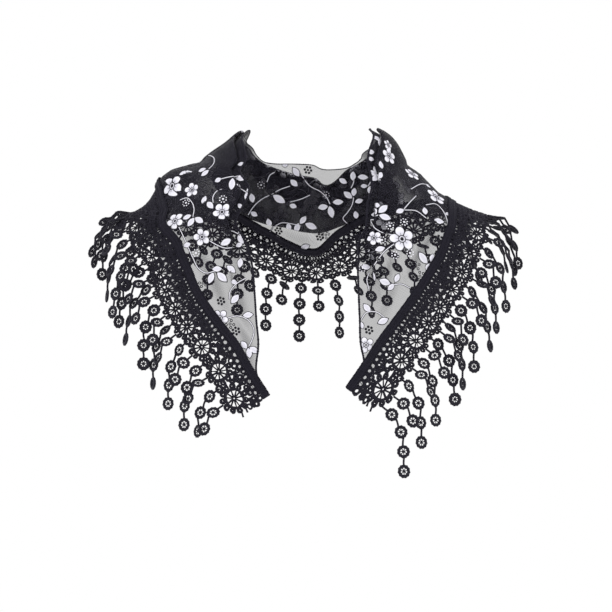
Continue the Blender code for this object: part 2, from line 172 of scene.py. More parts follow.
# The nearest points on the form
def settle(points):
    for _ in range(fineness["settling"]):
        slope = formSlope(points)
        points = points - slope * ((formReach(points) - 1) / (slope * slope).sum(-1))[..., None]
    return points


def lengthsAlong(points):
    steps = np.linalg.norm(np.diff(points, axis=-2), axis=-1)
    return np.concatenate([np.zeros(steps.shape[:-1] + (1,)), np.cumsum(steps, axis=-1)], axis=-1)


def stationAngle(side, x, height):
    width, _ = formSizes(np.float64(x), np.float64(0), height)
    swing = 0.0 if side == "ridge" else math.acos(min(1.0, abs(x) / float(width)) ** (form["power"] / 2))
    turn = swing if side == "back" else -swing
    return turn if x > 0 else math.pi - turn


# A smooth curve through some values, read at some places
def smoothValues(knots, values, places):
    slopes = np.gradient(values, knots, axis=0)
    span = np.clip(np.searchsorted(knots, places, side="right") - 1, 0, len(knots) - 2)
    width = (knots[span + 1] - knots[span])[:, None]
    t = (places - knots[span])[:, None] / width
    start = values[span] * (2 * t**3 - 3 * t**2 + 1) + slopes[span] * width * (t**3 - 2 * t**2 + t)
    end = values[span + 1] * (3 * t**2 - 2 * t**3) + slopes[span + 1] * width * (t**3 - t**2)
    return start + end


stationRows = np.array([
    (stationAngle(side, edgeX, edgeZ), edgeZ, stationAngle(side, braidX, braidZ), braidZ, *rest)
    for side, edgeX, edgeZ, braidX, braidZ, *rest in stations
])


def braidOf(rows):
    return formPoint(rows[:, rowHas["braidAngle"]], rows[:, rowHas["braidHeight"]])


# Rows of values, read at spots between their knots
def between(spots, knots, rows):
    return np.stack([np.interp(spots, knots, column) for column in rows.T], -1)


stationKnots = lengthsAlong(braidOf(stationRows))
routeRows = smoothValues(stationKnots, stationRows, np.linspace(0, stationKnots[-1], fineness["route"]))
routeLengths = lengthsAlong(braidOf(routeRows))
braidLength = routeLengths[-1]


def rowsAt(lengths):
    return between(lengths, routeLengths, routeRows)


border = {
    "repeats": 39,          # medallions
    "step": 4.0,            # spacing of the points across it
    "inner": 2,             # steps under the cloth's edge
    "outer": 14,
    "peak": 40.0,
    "valley": 35.0,
    "pitchLine": 28.0,      # the medallions' spacing is measured this far out
    "halfRepeat": 14.0,     # half the length of a repeat as it is modelled flat
    "wave": 2.5,            # height of its outer edge's waves, and their length in half repeats
    "waveLength": 5.0,
    "fine": 4,              # columns for each half repeat
    "tangent": 7.0,         # its direction is taken over this much to each side
}
# Soft swell of the cloth: less where it is narrow
billow = {"height": 2.5, "length": 95.0, "fullWidth": 90.0}


# Cross lines of the shawl at some lengths along the braid: their values, the line from plain edge to braid
# with its lengths, and the border's grid, which runs on from the braid over the form
def columnsAt(lengths):
    rows = rowsAt(lengths)
    share = np.linspace(0, 1, fineness["edgeLine"])
    around, height = (
        rows[:, [rowHas["edge" + value]]] * (1 - share) + rows[:, [rowHas["braid" + value]]] * share
        for value in ("Angle", "Height")
    )
    edgeLine = formPoint(around, height)
    reach = border["tangent"]
    along = unit(braidOf(rowsAt(lengths + reach)) - braidOf(rowsAt(lengths - reach)))
    lines = {}
    for way, count in ((-1, border["inner"]), (1, border["outer"])):
        line = [edgeLine[:, -1]]
        heading = np.cross(outward(line[0]), along)
        for _ in range(count):
            normal = outward(line[-1])
            heading = unit(heading - normal * (heading * normal).sum(-1, keepdims=True))
            line.append(settle(line[-1] + heading * border["step"] * way))
        lines[way] = line
    grid = np.stack(lines[-1][:0:-1] + lines[1], 1)
    return rows, edgeLine, lengthsAlong(edgeLine), grid


def acrossGrid(grid, across):
    spot = across / border["step"] + border["inner"]
    index = int(spot)
    return grid[:, index] + (grid[:, index + 1] - grid[:, index]) * (spot - index)


# Columns of the shawl, spaced evenly by medallion. A place counts half repeats from the left tail
lastPlace = 2 * border["repeats"]
fine = border["fine"]
sampleLengths = np.linspace(0, braidLength, fineness["samples"])
outerLengths = lengthsAlong(acrossGrid(columnsAt(sampleLengths)[3], border["pitchLine"]))
spacing = rowsAt(sampleLengths)[:, rowHas["medallions"]]
outerSteps = np.diff(outerLengths) * 2 / (spacing[1:] + spacing[:-1])
outerCounts = np.concatenate([[0], np.cumsum(outerSteps)])
places = np.arange(lastPlace * fine + 1) / fine
columnLengths = np.interp(places / lastPlace * outerCounts[-1], outerCounts, sampleLengths)
columnRows, edgeLines, edgeLengths, borderGrid = columnsAt(columnLengths)
widths = edgeLengths[:, -1]
ridgeSpots = [np.interp(-angle, -columnRows[:, rowHas["braidAngle"]], places) for angle in (math.pi, 0.0)]
leftRidge, rightRidge = (2 * round(float(spot) / 2) for spot in ridgeSpots)
print("braid", round(braidLength), "mm,", round(outerCounts[-1], 1), "repeats, ridges", leftRidge, rightRidge)


# A point of the border, at a place and at a distance across it from the braid
def borderPoint(place, across, lift):
    spot = np.clip(np.asarray(place, float), 0, lastPlace - 1e-6) * fine
    over = np.asarray(place, float) * fine - spot
    i = spot.astype(int)
    s = (spot - i + over)[..., None]
    row = np.asarray(across, float) / border["step"] + border["inner"]
    row = np.clip(row, 0, borderGrid.shape[1] - 1.001)
    k = row.astype(int)
    t = (row - k)[..., None]
    near = borderGrid[i, k] * (1 - t) + borderGrid[i, k + 1] * t
    far = borderGrid[i + 1, k] * (1 - t) + borderGrid[i + 1, k + 1] * t
    points = near + (far - near) * s
    wave = border["wave"] * np.maximum(0, across / border["peak"]) ** 2
    wave = wave * np.sin(2 * math.pi * np.asarray(place) / border["waveLength"])
    return points + outward(points) * (lift + wave)[..., None]


def deselectAll():
    if bpy.context.object and bpy.context.object.mode != "OBJECT":
        bpy.ops.object.mode_set(mode="OBJECT")
    bpy.ops.object.select_all(action="DESELECT")


# Primitives for the lace, in mm on a flat table: x along the border, y across it
def addRing(x, y, radius, wire, stretch=1.0, turn=0.0, around=10, sides=4, flat=0.8):
    bpy.ops.mesh.primitive_torus_add(
        major_radius=radius, minor_radius=wire, major_segments=around, minor_segments=sides,
        location=(x, y, 0), rotation=(0, 0, turn),
    )
    bpy.context.object.scale = (1, stretch, flat)
    return bpy.context.object


def addBar(start, end, radius, sides=5, flat=0.85):
    (x1, y1), (x2, y2) = start, end
    bpy.ops.mesh.primitive_cylinder_add(
        vertices=sides, radius=radius, depth=math.hypot(x2 - x1, y2 - y1),
        location=((x1 + x2) / 2, (y1 + y2) / 2, 0),
        rotation=(math.pi / 2, 0, math.atan2(y2 - y1, x2 - x1) + math.pi / 2),
    )
    bpy.context.object.scale = (1, flat, 1)
    return bpy.context.object


def onCircle(radius, turn):
    return math.cos(turn) * radius, math.sin(turn) * radius


def addSpoke(turn, ends, radius, centre=0.0, flat=0.85):
    (x1, y1), (x2, y2) = (onCircle(reach, turn) for reach in ends)
    return addBar((x1, centre + y1), (x2, centre + y2), radius, sides=4, flat=flat)


def addKnob(x, y, size, turn=0.0, segments=8, rings=5, z=0.0):
    bpy.ops.mesh.primitive_uv_sphere_add(
        segments=segments, ring_count=rings, radius=1, location=(x, y, z), rotation=(0, 0, turn)
    )
    bpy.context.object.scale = size
    return bpy.context.object


# What was modelled, as one shape: only its points and faces are kept
def takeShape(parts):
    deselectAll()
    for part in parts:
        part.select_set(True)
    bpy.context.view_layer.objects.active = parts[0]
    if len(parts) > 1:
        bpy.ops.object.join()
    bpy.ops.object.transform_apply(location=True, rotation=True, scale=True)
    shape = bpy.context.object
    points = np.array([vertex.co[:] for vertex in shape.data.vertices])
    faces = [tuple(polygon.vertices) for polygon in shape.data.polygons]
    bpy.data.objects.remove(shape)
    return points, faces


def addPiece(name, points, faces, material, attributes=()):
    mesh = bpy.data.meshes.new(name)
    mesh.from_pydata((np.asarray(points) * mm).tolist(), [], faces)
    mesh.shade_smooth()
    mesh.materials.append(material)
    for label, values in attributes:
        mesh.attributes.new(label, "FLOAT", "POINT").data.foreach_set("value", np.asarray(values, np.float32))
    piece = bpy.data.objects.new(name, mesh)
    bpy.context.scene.collection.objects.link(piece)
    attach(piece, "root")
    return piece


class Heap:
    # Many small shapes gathered into one mesh
    def __init__(self):
        self.points = []
        self.faces = []
        self.values = []
        self.count = 0

    def add(self, points, faces, values=None):
        self.points.append(points)
        self.faces += [tuple(index + self.count for index in face) for face in faces]
        self.values.append(np.zeros(len(points)) if values is None else values)
        self.count += len(points)

    def piece(self, name, material, slotName, label=None):
        attributes = [(label, np.concatenate(self.values))] if label else ()
        return addPiece(name, np.concatenate(self.points), self.faces, material, attributes)


# A round thread along some points
def strand(points, radius, sides=6, flat=1.0, normals=None):
    points = np.asarray(points, float)
    tangents = unit(np.gradient(points, axis=0))
    if normals is None:
        first = np.cross(tangents[0], (0.3, 0.2, 0.9))      # any way that isn't the thread's own
        normals = [first / np.linalg.norm(first)]
        for tangent in tangents[1:]:
            turned = normals[-1] - tangent * normals[-1].dot(tangent)
            normals.append(turned / np.linalg.norm(turned))
        normals = np.array(normals)
    side = unit(np.cross(normals, tangents))
    up = np.cross(tangents, side)
    radius = np.broadcast_to(np.asarray(radius, float), (len(points),))
    rings = []
    for index in range(sides):
        angle = 2 * math.pi * index / sides
        offset = side * math.cos(angle) + up * math.sin(angle) * flat
        rings.append(points + offset * radius[:, None])
    verts = np.stack(rings, 1).reshape(-1, 3)
    faces = []
    for ring in range(len(points) - 1):
        for index in range(sides):
            a = ring * sides + index
            b = ring * sides + (index + 1) % sides
            faces.append((a, b, b + sides, a + sides))
    last = (len(points) - 1) * sides
    faces.append(tuple(range(sides))[::-1])
    faces.append(tuple(range(last, last + sides)))
    return verts, faces


def smoothLine(points, step):
    points = np.asarray(points, float)
    knots = lengthsAlong(points)
    count = max(2, int(knots[-1] / step) + 1)
    return smoothValues(knots, points, np.linspace(0, knots[-1], count))


# Finishes. An input is either a value or another node's output
def setInputs(tree, node, inputs):
    for name, value in inputs.items():
        if isinstance(value, bpy.types.NodeSocket):
            tree.links.new(value, node.inputs[name])
        else:
            node.inputs[name].default_value = value


def addNode(tree, kind, inputs):
    node = tree.nodes.new(kind)
    setInputs(tree, node, inputs)
    return node


def addMath(tree, operation, *values):
    node = tree.nodes.new("ShaderNodeMath")
    node.operation = operation
    setInputs(tree, node, dict(enumerate(values)))
    return node.outputs[0]


def newMaterial(name):
    material = bpy.data.materials.new(name)
    material.use_nodes = True
    return material, material.node_tree, material.node_tree.nodes["Principled BSDF"]


# Relief like twisted or stitched thread, as a normal
def threadRelief(tree, waves, strength, depth):
    wave = addNode(tree, "ShaderNodeTexWave", waves)
    relief = {"Height": wave.outputs["Fac"], "Strength": strength, "Distance": depth}
    return addNode(tree, "ShaderNodeBump", relief).outputs["Normal"]


threadLook = {"dark": (0.007, 0.0065, 0.011), "light": (0.024, 0.022, 0.034), "grain": 900.0, "bump": 0.5}


# Crochet thread: two near blacks in small patches, with a fine twist
def threadMaterial(name, look):
    material, tree, shader = newMaterial(name)
    coords = tree.nodes.new("ShaderNodeTexCoord").outputs["Object"]
    noise = addNode(tree, "ShaderNodeTexNoise", {"Vector": coords, "Scale": look["grain"], "Detail": 3})
    ramp = addNode(tree, "ShaderNodeValToRGB", {"Fac": noise.outputs["Fac"]})
    for element, position, tone in zip(ramp.color_ramp.elements, (0.35, 0.75), (look["dark"], look["light"])):
        element.position = position
        element.color = (*tone, 1)
    twist = {"Vector": coords, "Scale": look["grain"] * 0.8, "Distortion": 6, "Detail": 1}
    setInputs(tree, shader, {
        "Base Color": ramp.outputs["Color"],
        "Normal": threadRelief(tree, twist, look["bump"], 0.0003),
        "Roughness": 0.6,
        "Specular IOR Level": 0.14,
        "Sheen Weight": 0.04,
        "Sheen Tint": (0.75, 0.72, 0.9, 1),
    })
    return material


laceMaterial = threadMaterial("blackLace", threadLook)
braidMaterial = threadMaterial("blackBraid", {**threadLook, "light": (0.019, 0.017, 0.030), "grain": 1400.0})
blackMotifMaterial = threadMaterial("blackThread", {**threadLook, "light": (0.016, 0.015, 0.022)})

# Tulle: the size of its holes in metres, how much its threads cover, and how much more where it is bunched
netLook = {
    "period": 0.0011, "cover": 0.26, "contrast": 0.5, "bunched": 1.6, "color": (0.014, 0.013, 0.020),
    "turns": (0, 60, 120), "scaleForMetre": 0.314,
}


# Three bands of fine threads, turned against each other on the cloth's own flat coordinates
def netMaterial(name, look):
    material, tree, shader = newMaterial(name)
    flat = tree.nodes.new("ShaderNodeUVMap")
    flat.uv_map = "flat"
    bands = []
    for turn in look["turns"]:
        around = (0, 0, math.radians(turn))
        place = addNode(tree, "ShaderNodeMapping", {"Vector": flat.outputs["UV"], "Rotation": around})
        scale = look["scaleForMetre"] / look["period"]
        wave = addNode(tree, "ShaderNodeTexWave", {"Vector": place.outputs["Vector"], "Scale": scale})
        bands.append(wave.outputs["Fac"])
    top = addMath(tree, "MAXIMUM", addMath(tree, "MAXIMUM", bands[0], bands[1]), bands[2])
    cover = addNode(tree, "ShaderNodeMapRange", {
        "Value": top,
        "From Min": 0.45,
        "From Max": 1.0,
        "To Min": look["cover"] * (1 - look["contrast"]),
        "To Max": look["cover"] * (1 + look["contrast"]),
    })
    bunch = tree.nodes.new("ShaderNodeAttribute")
    bunch.attribute_name = "bunch"
    denser = addMath(tree, "MULTIPLY_ADD", bunch.outputs["Fac"], look["bunched"], 1.0)
    setInputs(tree, shader, {
        "Alpha": addMath(tree, "MULTIPLY", cover.outputs["Result"], denser),
        "Base Color": (*look["color"], 1),
        "Roughness": 0.7,
        "Specular IOR Level": 0.1,
        "Sheen Weight": 0.05,
    })
    return material


netSheer = netMaterial("sheerMesh", netLook)

whiteLook = {"rim": (0.86, 0.85, 0.92), "middle": (0.58, 0.57, 0.66), "stitch": 1300.0}


# White stitching: paler at the rim of each motif and grey-lilac along its middle
def whiteMaterial(name, look):
    material, tree, shader = newMaterial(name)
    tone = tree.nodes.new("ShaderNodeAttribute")
    tone.attribute_name = "tone"
    mix = tree.nodes.new("ShaderNodeMix")
    mix.data_type = "RGBA"
    setInputs(tree, mix, {"Factor": tone.outputs["Fac"], "A": (*look["middle"], 1), "B": (*look["rim"], 1)})
    coords = tree.nodes.new("ShaderNodeTexCoord").outputs["Object"]
    stitches = {"Vector": coords, "Scale": look["stitch"] * 0.5, "Distortion": 4}
    setInputs(tree, shader, {
        "Base Color": mix.outputs["Result"],
        "Normal": threadRelief(tree, stitches, 0.35, 0.0002),
        "Roughness": 0.55,
        "Sheen Weight": 0.1,
    })
    return material


whiteMotifMaterial = whiteMaterial("whiteThread", whiteLook)
print("finishes ready")

# The sheer cloth
cloth = {
    "thickness": 0.3,
    "startSteps": 3,
    "runSteps": 14,
    "foldTurn": 4.0,        # cloth used by the turn of a fold
    "turnSteps": 7,
    "leastTurn": 1.0,
    "layerGap": 1.0,        # the last layer lies this far past the folds
    "seamRest": 2.5,        # and goes down to the form this far before the braid
    "seamRoom": 4.0,        # the folds end this far before it
    "seamGap": 0.2,
    "foldRoom": 0.6,        # least share of the width that is left to the folds
    "restStart": 0.85,
    "easeStart": 0.25,
    "sinkSteps": 12,
    "narrowTip": 1.2,       # the cloth starts where it is this wide
    "foldShade": 0.7,       # how much denser the net gets in folds and creases
    "creaseShade": 0.3,
    "ridgeShades": (7, 5),  # half widths of the denser stretches on the shoulders, in half repeats
    # the cloth goes on under the lace: place and reach past the braid
    "under": (
        (0, 10), (5, 11), (8, 24), (24, 22), (27, 11), (53, 11), (56, 22), (69, 24), (73, 11), (78, 10),
    ),
    "underSteps": 5,
    "underLift": -1.3,
    "underSink": 4.0,       # and gets down to that lift this far past it
}


# Points (across, lift) of the cloth from its plain edge to the braid, with its two flat folds
def sectionPath(width, folds, secondFold):
    start, depth1, turn1, depth2, turn2 = folds
    points = [(0.0, 0.0)]
    heading = 0.0

    def run(length, steps):
        for _ in range(steps):
            across, lift = points[-1]
            share = length / steps
            points.append((across + share * math.cos(heading), lift + share * math.sin(heading)))

    def turn(degrees):
        nonlocal heading
        half = math.radians(degrees) / cloth["turnSteps"] / 2
        for _ in range(cloth["turnSteps"]):
            heading += half
            run(cloth["foldTurn"] / cloth["turnSteps"], 1)
            heading += half

    def fold(depth, degrees):
        run(depth, cloth["runSteps"])
        outerEnd = len(points)
        turn(min(degrees, 180.0))
        run(depth, cloth["runSteps"])
        turn(-min(degrees, 180.0))
        return outerEnd

    run(start, cloth["startSteps"])
    firstRun = fold(depth1, turn1)
    if secondFold:
        fold(depth2, turn2)
    lastRun = len(points)
    farthest = max(across for across, _ in points)
    room = max(width - cloth["seamRoom"], cloth["foldRoom"] * width)
    if farthest > room:
        points = [(across * room / farthest, lift) for across, lift in points]
        farthest = room
    last, lift = points[-1]
    rest = max(width - cloth["seamRest"], cloth["restStart"] * width)
    plateau = farthest + min(cloth["layerGap"], cloth["easeStart"] * (rest - farthest))
    for step in range(1, cloth["runSteps"]):
        points.append((last + (plateau - last) * step / cloth["runSteps"], lift))
    for step in range(cloth["sinkSteps"] + 1):
        share = step / cloth["sinkSteps"]
        points.append((plateau + (rest - plateau) * share, lift * (1 - share * share * (3 - 2 * share))))
    points.append((width - cloth["seamGap"], 0.0))
    return np.array(points), firstRun, lastRun


# Soft creases, listed: place, share of the way from plain edge to braid, half length in half repeats,
# half width and height in mm
creases = (
    (4.0, 0.45, 2.2, 5, 1.2), (7.9, 0.30, 2.8, 6, -1.4), (9.9, 0.62, 2.4, 5, 1.1),
    (13.7, 0.72, 2.9, 6, 1.3), (16.9, 0.55, 2.3, 5, -1.1), (20.1, 0.78, 2.8, 5, 1.2),
    (22.7, 0.60, 2.0, 4, 0.9), (24.0, 0.57, 3.0, 4, -4.0), (23.6, 0.80, 2.2, 8, 1.6),
    (27.0, 0.80, 2.6, 5, 1.2), (31.5, 0.88, 2.2, 4, -0.9), (35.0, 0.80, 2.0, 6, 1.2),
    (39.0, 0.90, 2.6, 6, -1.2), (43.0, 0.82, 2.0, 5, 1.1), (47.0, 0.86, 2.6, 5, 1.0),
    (51.0, 0.78, 2.2, 5, -1.0), (55.0, 0.66, 1.8, 4, 0.9), (56.0, 0.50, 2.4, 5, -2.2),
    (56.2, 0.86, 2.0, 5, -2.0), (58.9, 0.74, 2.3, 5, 1.2), (61.8, 0.60, 2.6, 5, -1.2),
    (64.8, 0.76, 2.1, 5, 1.3), (67.1, 0.42, 2.6, 5, 1.2), (70.0, 0.55, 2.0, 5, -1.0),
    (59.6, 0.84, 1.6, 2, 2.0), (62.2, 0.80, 1.8, 2, 2.2), (65.3, 0.70, 1.7, 2, 2.0),
    (10.6, 0.34, 1.6, 2, 2.0),
)


def creaseLift(place, share, width):
    lift = np.zeros_like(share)
    for at, middle, half, narrow, height in creases:
        beside = (share - middle) * width / narrow
        lift += height * np.exp(-beside**2) * np.exp(-(((place - at) / half) ** 2))
    return lift * np.sin(math.pi * np.clip(share, 0, 1)) ** 0.5


farApart = 1000.0           # keeps the columns' flat distances apart in one sorted list
# how far a flat shape reaches at most, in half repeats, and how far its points slip as they are fitted
spreading = {"farthest": 1.5, "slipAlong": 0.6, "slipAcross": 4.0, "leastArea": 0.5, "rounds": 2}


class Sheet:
    # One stretch of the cloth as a fine grid, with its flat distances and normals
    def __init__(self, first, last, secondFold):
        lines, flats, shades, self.places, self.length = [], [], [], [], []
        for index in range(first * fine, last * fine + 1):
            if widths[index] < cloth["narrowTip"]:
                continue
            folds = list(columnRows[index, rowHas["folds"]])
            fromEnd = min(index - first * fine, last * fine - index) / fine
            if secondFold:      # it opens flat at the ridges
                folds[-1] = cloth["leastTurn"] if fromEnd < 0.5 else max(folds[-1], cloth["leastTurn"])
            path, self.firstRun, self.lastRun = sectionPath(widths[index], folds, secondFold)
            crease = creaseLift(places[index], path[:, 0] / widths[index], widths[index])
            past = np.interp(places[index], *np.array(cloth["under"]).T)
            past = past * np.arange(1, cloth["underSteps"] + 1) / cloth["underSteps"]
            lines.append(self.line(index, path, crease, past))
            flat = np.concatenate([[0], np.cumsum(np.hypot(*np.diff(path, axis=0).T))])
            flats.append(np.concatenate([flat, flat[-1] + past]))
            shades.append(cloth["creaseShade"] * np.abs(np.concatenate([crease, 0 * past])))
            self.length.append(flat[-1])
            self.places.append(places[index])
        self.grid = np.array(lines)
        self.flat = np.array(flats)
        self.places = np.array(self.places)
        self.length = np.array(self.length)
        self.acrossStep = unit(np.gradient(self.grid, axis=1))
        slide = np.gradient(self.flat, axis=0)[..., None]
        self.alongStep = (np.gradient(self.grid, axis=0) - self.acrossStep * slide) * fine
        self.normals = unit(np.cross(self.alongStep, self.acrossStep))
        ridges = zip((leftRidge, rightRidge), cloth["ridgeShades"])
        onRidge = sum(np.exp(-(((self.places - ridge) / half) ** 4)) for ridge, half in ridges)
        rows = np.arange(self.grid.shape[1])
        inFolds = (rows > cloth["startSteps"]) & (rows < self.lastRun)
        self.turned = np.interp(self.places, places, columnRows[:, rowHas["turn"]]) / 180
        folded = cloth["foldShade"] * self.turned[:, None] * inFolds
        self.bunch = np.maximum(onRidge[:, None], folded) + np.array(shades)
        self.sorted = (self.flat + np.arange(len(self.flat))[:, None] * farApart).ravel()

    # one cross line of the cloth on the form, and on under the lace
    def line(self, index, path, crease, past):
        width = widths[index]
        base = between(path[:, 0], edgeLengths[index], edgeLines[index])
        swell = billow["height"] * min(1.0, width / billow["fullWidth"])
        swell *= math.sin(2 * math.pi * columnLengths[index] / billow["length"])
        lift = path[:, 1] + swell * np.sin(math.pi * path[:, 0] / width) ** 2 + crease
        rows = past / border["step"] + border["inner"]
        base = np.concatenate([base, between(rows, np.arange(borderGrid.shape[1]), borderGrid[index])])
        lift = np.concatenate([lift, cloth["underLift"] * np.clip(past / cloth["underSink"], 0, 1)])
        return base + outward(base) * lift[:, None]

    # reads one of the grids at (place, flat distance from the plain edge)
    def read(self, values, place, flat):
        place, flat = np.asarray(place, float), np.asarray(flat, float)
        spot = np.clip((place - self.places[0]) * fine, 0, len(self.places) - 1.001)
        column = spot.astype(int)
        share = (spot - column)[..., None]
        ends = []
        for i in (column, column + 1):
            held = np.clip(flat, 0.01, self.length[i] - 0.01)
            rows = self.flat.shape[1]
            found = np.searchsorted(self.sorted, held + i * farApart, side="right") - 1 - i * rows
            j = np.clip(found, 0, rows - 2)
            step = np.maximum(self.flat[i, j + 1] - self.flat[i, j], 1e-6)
            t = ((held - self.flat[i, j]) / step)[..., None]
            ends.append(values[i, j] * (1 - t) + values[i, j + 1] * t)
        return ends[0] * (1 - share) + ends[1] * share

    def point(self, place, flat, lift=0.0):
        points = self.read(self.grid, place, flat)
        return points + unit(self.read(self.normals, place, flat)) * np.asarray(lift)[..., None]

    # tangents at a spot: along the cloth, for one half repeat, and across it, for one mm
    def frame(self, place, flat):
        return self.read(self.alongStep, place, flat), unit(self.read(self.acrossStep, place, flat))

    # where the points of a flat shape come on the cloth: x along, y towards the braid
    def spread(self, points, place, flat, angle):
        along, across = self.frame(place, flat)
        lean = along.dot(across)
        square = math.sqrt(max(along.dot(along) - lean * lean, 1.0))
        a = points[:, 0] * math.cos(angle) - points[:, 1] * math.sin(angle)
        b = points[:, 0] * math.sin(angle) + points[:, 1] * math.cos(angle)
        target = self.point(place, flat) + b[:, None] * across
        target = target + a[:, None] * (along - across * lean) / square
        firstPlace = place + np.clip(a / square, -spreading["farthest"], spreading["farthest"])
        firstFlat = flat + b - (firstPlace - place) * lean
        nextPlace, nextFlat = firstPlace, firstFlat
        for _ in range(spreading["rounds"]):
            gap = target - self.point(nextPlace, nextFlat)
            u, v = self.frame(nextPlace, nextFlat)
            uu, uv = (u * u).sum(-1), (u * v).sum(-1)
            gu, gv = (gap * u).sum(-1), (gap * v).sum(-1)
            area = np.maximum(uu - uv * uv, spreading["leastArea"])
            slip, slipAcross = spreading["slipAlong"], spreading["slipAcross"]
            nextPlace = np.clip(nextPlace + (gu - uv * gv) / area, firstPlace - slip, firstPlace + slip)
            nextFlat = nextFlat + (uu * gv - uv * gu) / area
            nextFlat = np.clip(nextFlat, firstFlat - slipAcross, firstFlat + slipAcross)
        return nextPlace, nextFlat

    def lay(self, points, place, flat, angle, lift=0.0):
        return self.point(*self.spread(points, place, flat, angle), points[:, 2] + lift)


# Stretches of the shawl: first and last place, and whether there is a second fold
stretches = {
    "left_front": (0, leftRidge, False),
    "back": (leftRidge, rightRidge, True),
    "right_front": (rightRidge, lastPlace, False),
}
sheets = {side: Sheet(*stretch) for side, stretch in stretches.items()}


def clothPiece(side):
    sheet = sheets[side]
    columns, rows = sheet.grid.shape[:2]
    deselectAll()
    bpy.ops.mesh.primitive_grid_add(x_subdivisions=rows - 1, y_subdivisions=columns - 1, size=1)
    piece = bpy.context.object
    piece.name = piece.data.name = "sheer_mesh_" + side
    mesh = piece.data
    mesh.vertices.foreach_set("co", (sheet.grid * mm).astype(np.float32).ravel())
    along = np.repeat(columnLengths[(sheet.places * fine).astype(int)], rows)
    flat = np.stack([along, sheet.flat.ravel()], -1) * mm
    uv = mesh.uv_layers[0]
    uv.name = "flat"
    corners = np.array([loop.vertex_index for loop in mesh.loops])
    uv.data.foreach_set("uv", flat[corners].astype(np.float32).ravel())
    bunch = mesh.attributes.new("bunch", "FLOAT", "POINT")
    bunch.data.foreach_set("value", sheet.bunch.astype(np.float32).ravel())
    mesh.shade_smooth()
    mesh.materials.append(netSheer)
    wall = piece.modifiers.new("wall", "SOLIDIFY")
    wall.thickness = cloth["thickness"] * mm
    wall.offset = 0
    bpy.ops.object.modifier_apply(modifier=wall.name)
    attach(piece, "root")
    return piece


clothPieces = {side: clothPiece(side) for side in stretches}
print("cloth:", [len(piece.data.polygons) for piece in clothPieces.values()])

# Rolled hem along the plain edge, finer at the back
hem = {"bead": (1.4, 1.2, 1.2), "pitch": 2.3, "core": 0.95, "backSize": 0.5, "sizes": (0.85, 1.15)}


# A flat shape's points at a centre in space, along three axes there
def placed(points, centre, x, y, z):
    return centre + points[:, :1] * x + points[:, 1:2] * y + points[:, 2:3] * z


def hemPiece(side):
    line = sheets[side].grid[:, 0]
    heap = Heap()
    full = hem["backSize"] if side == "back" else 1.0
    heap.add(*strand(line, hem["core"] * full))
    bead = takeShape([addKnob(0, 0, hem["bead"], segments=7, rings=5)])
    knots = lengthsAlong(line)
    spots = np.arange(hem["pitch"] / 2, knots[-1], hem["pitch"])
    centres = between(spots, knots, line)
    tangents = unit(np.gradient(centres, axis=0))
    sides = unit(np.cross(outward(centres), tangents))
    for centre, x, y, z in zip(centres, tangents, sides, np.cross(tangents, sides)):
        size = rng.uniform(*hem["sizes"])
        heap.add(placed(bead[0] * (1, size * full, size * full), centre, x, y, z), bead[1])
    return heap.piece("hem_" + side, braidMaterial, "black_braid")


hemPieces = {side: hemPiece(side) for side in stretches}

# Braid over the seam: two rows of slanting stitches on each face and a bead at each edge
braid = {
    "lift": 1.5,
    "pitch": 1.8,
    "stitch": (2.75, 0.85, 0.75),
    "stitchAt": 2.0,
    "lean": math.radians(36),
    "innerAt": -2.3,        # height of the inner face's stitches
    "edgeBead": (1.15, 0.75, 0.75),
    "edgeAt": (0.4, 3.95),
    "band": (1.3, 4.2, 0.7),
    "bandHeights": (-0.4, -2.0),
    "widths": (0.96, 1.04),
    "heights": (0.9, 1.15),
}


def braidShape():
    parts = []
    for way in (-1, 1):
        for height in (0, braid["innerAt"]):
            y = way * braid["stitchAt"]
            parts.append(addKnob(0, y, braid["stitch"], turn=-way * braid["lean"], segments=7, z=height))
        x, y = braid["edgeAt"]
        parts.append(addKnob(x * way, y * way, braid["edgeBead"], segments=6, rings=4))
    for height in braid["bandHeights"]:
        parts.append(addKnob(0, 0, braid["band"], segments=8, rings=4, z=height))
    return takeShape(parts)


placeLengths = lengthsAlong(borderPoint(places, np.zeros(len(places)), np.zeros(len(places))))


def braidPiece(side):
    first, last = stretches[side][:2]
    shape, faces = braidShape()
    start, end = np.interp((first, last), places, placeLengths)
    heap = Heap()
    count = int((end - start) / braid["pitch"])
    for index in range(count):
        middle = start + (index + 0.5) * (end - start) / count
        points = shape * (1, rng.uniform(*braid["widths"]), rng.uniform(*braid["heights"]))
        place = np.interp(np.clip(middle + points[:, 0], start, end), placeLengths, places)
        heap.add(borderPoint(place, points[:, 1], braid["lift"] + points[:, 2]), faces)
    return heap.piece("seam_braid_" + side, braidMaterial, "black_braid")


braidPieces = {side: braidPiece(side) for side in stretches}
print("hem and braid:", [len(piece.data.polygons) for piece in braidPieces.values()])

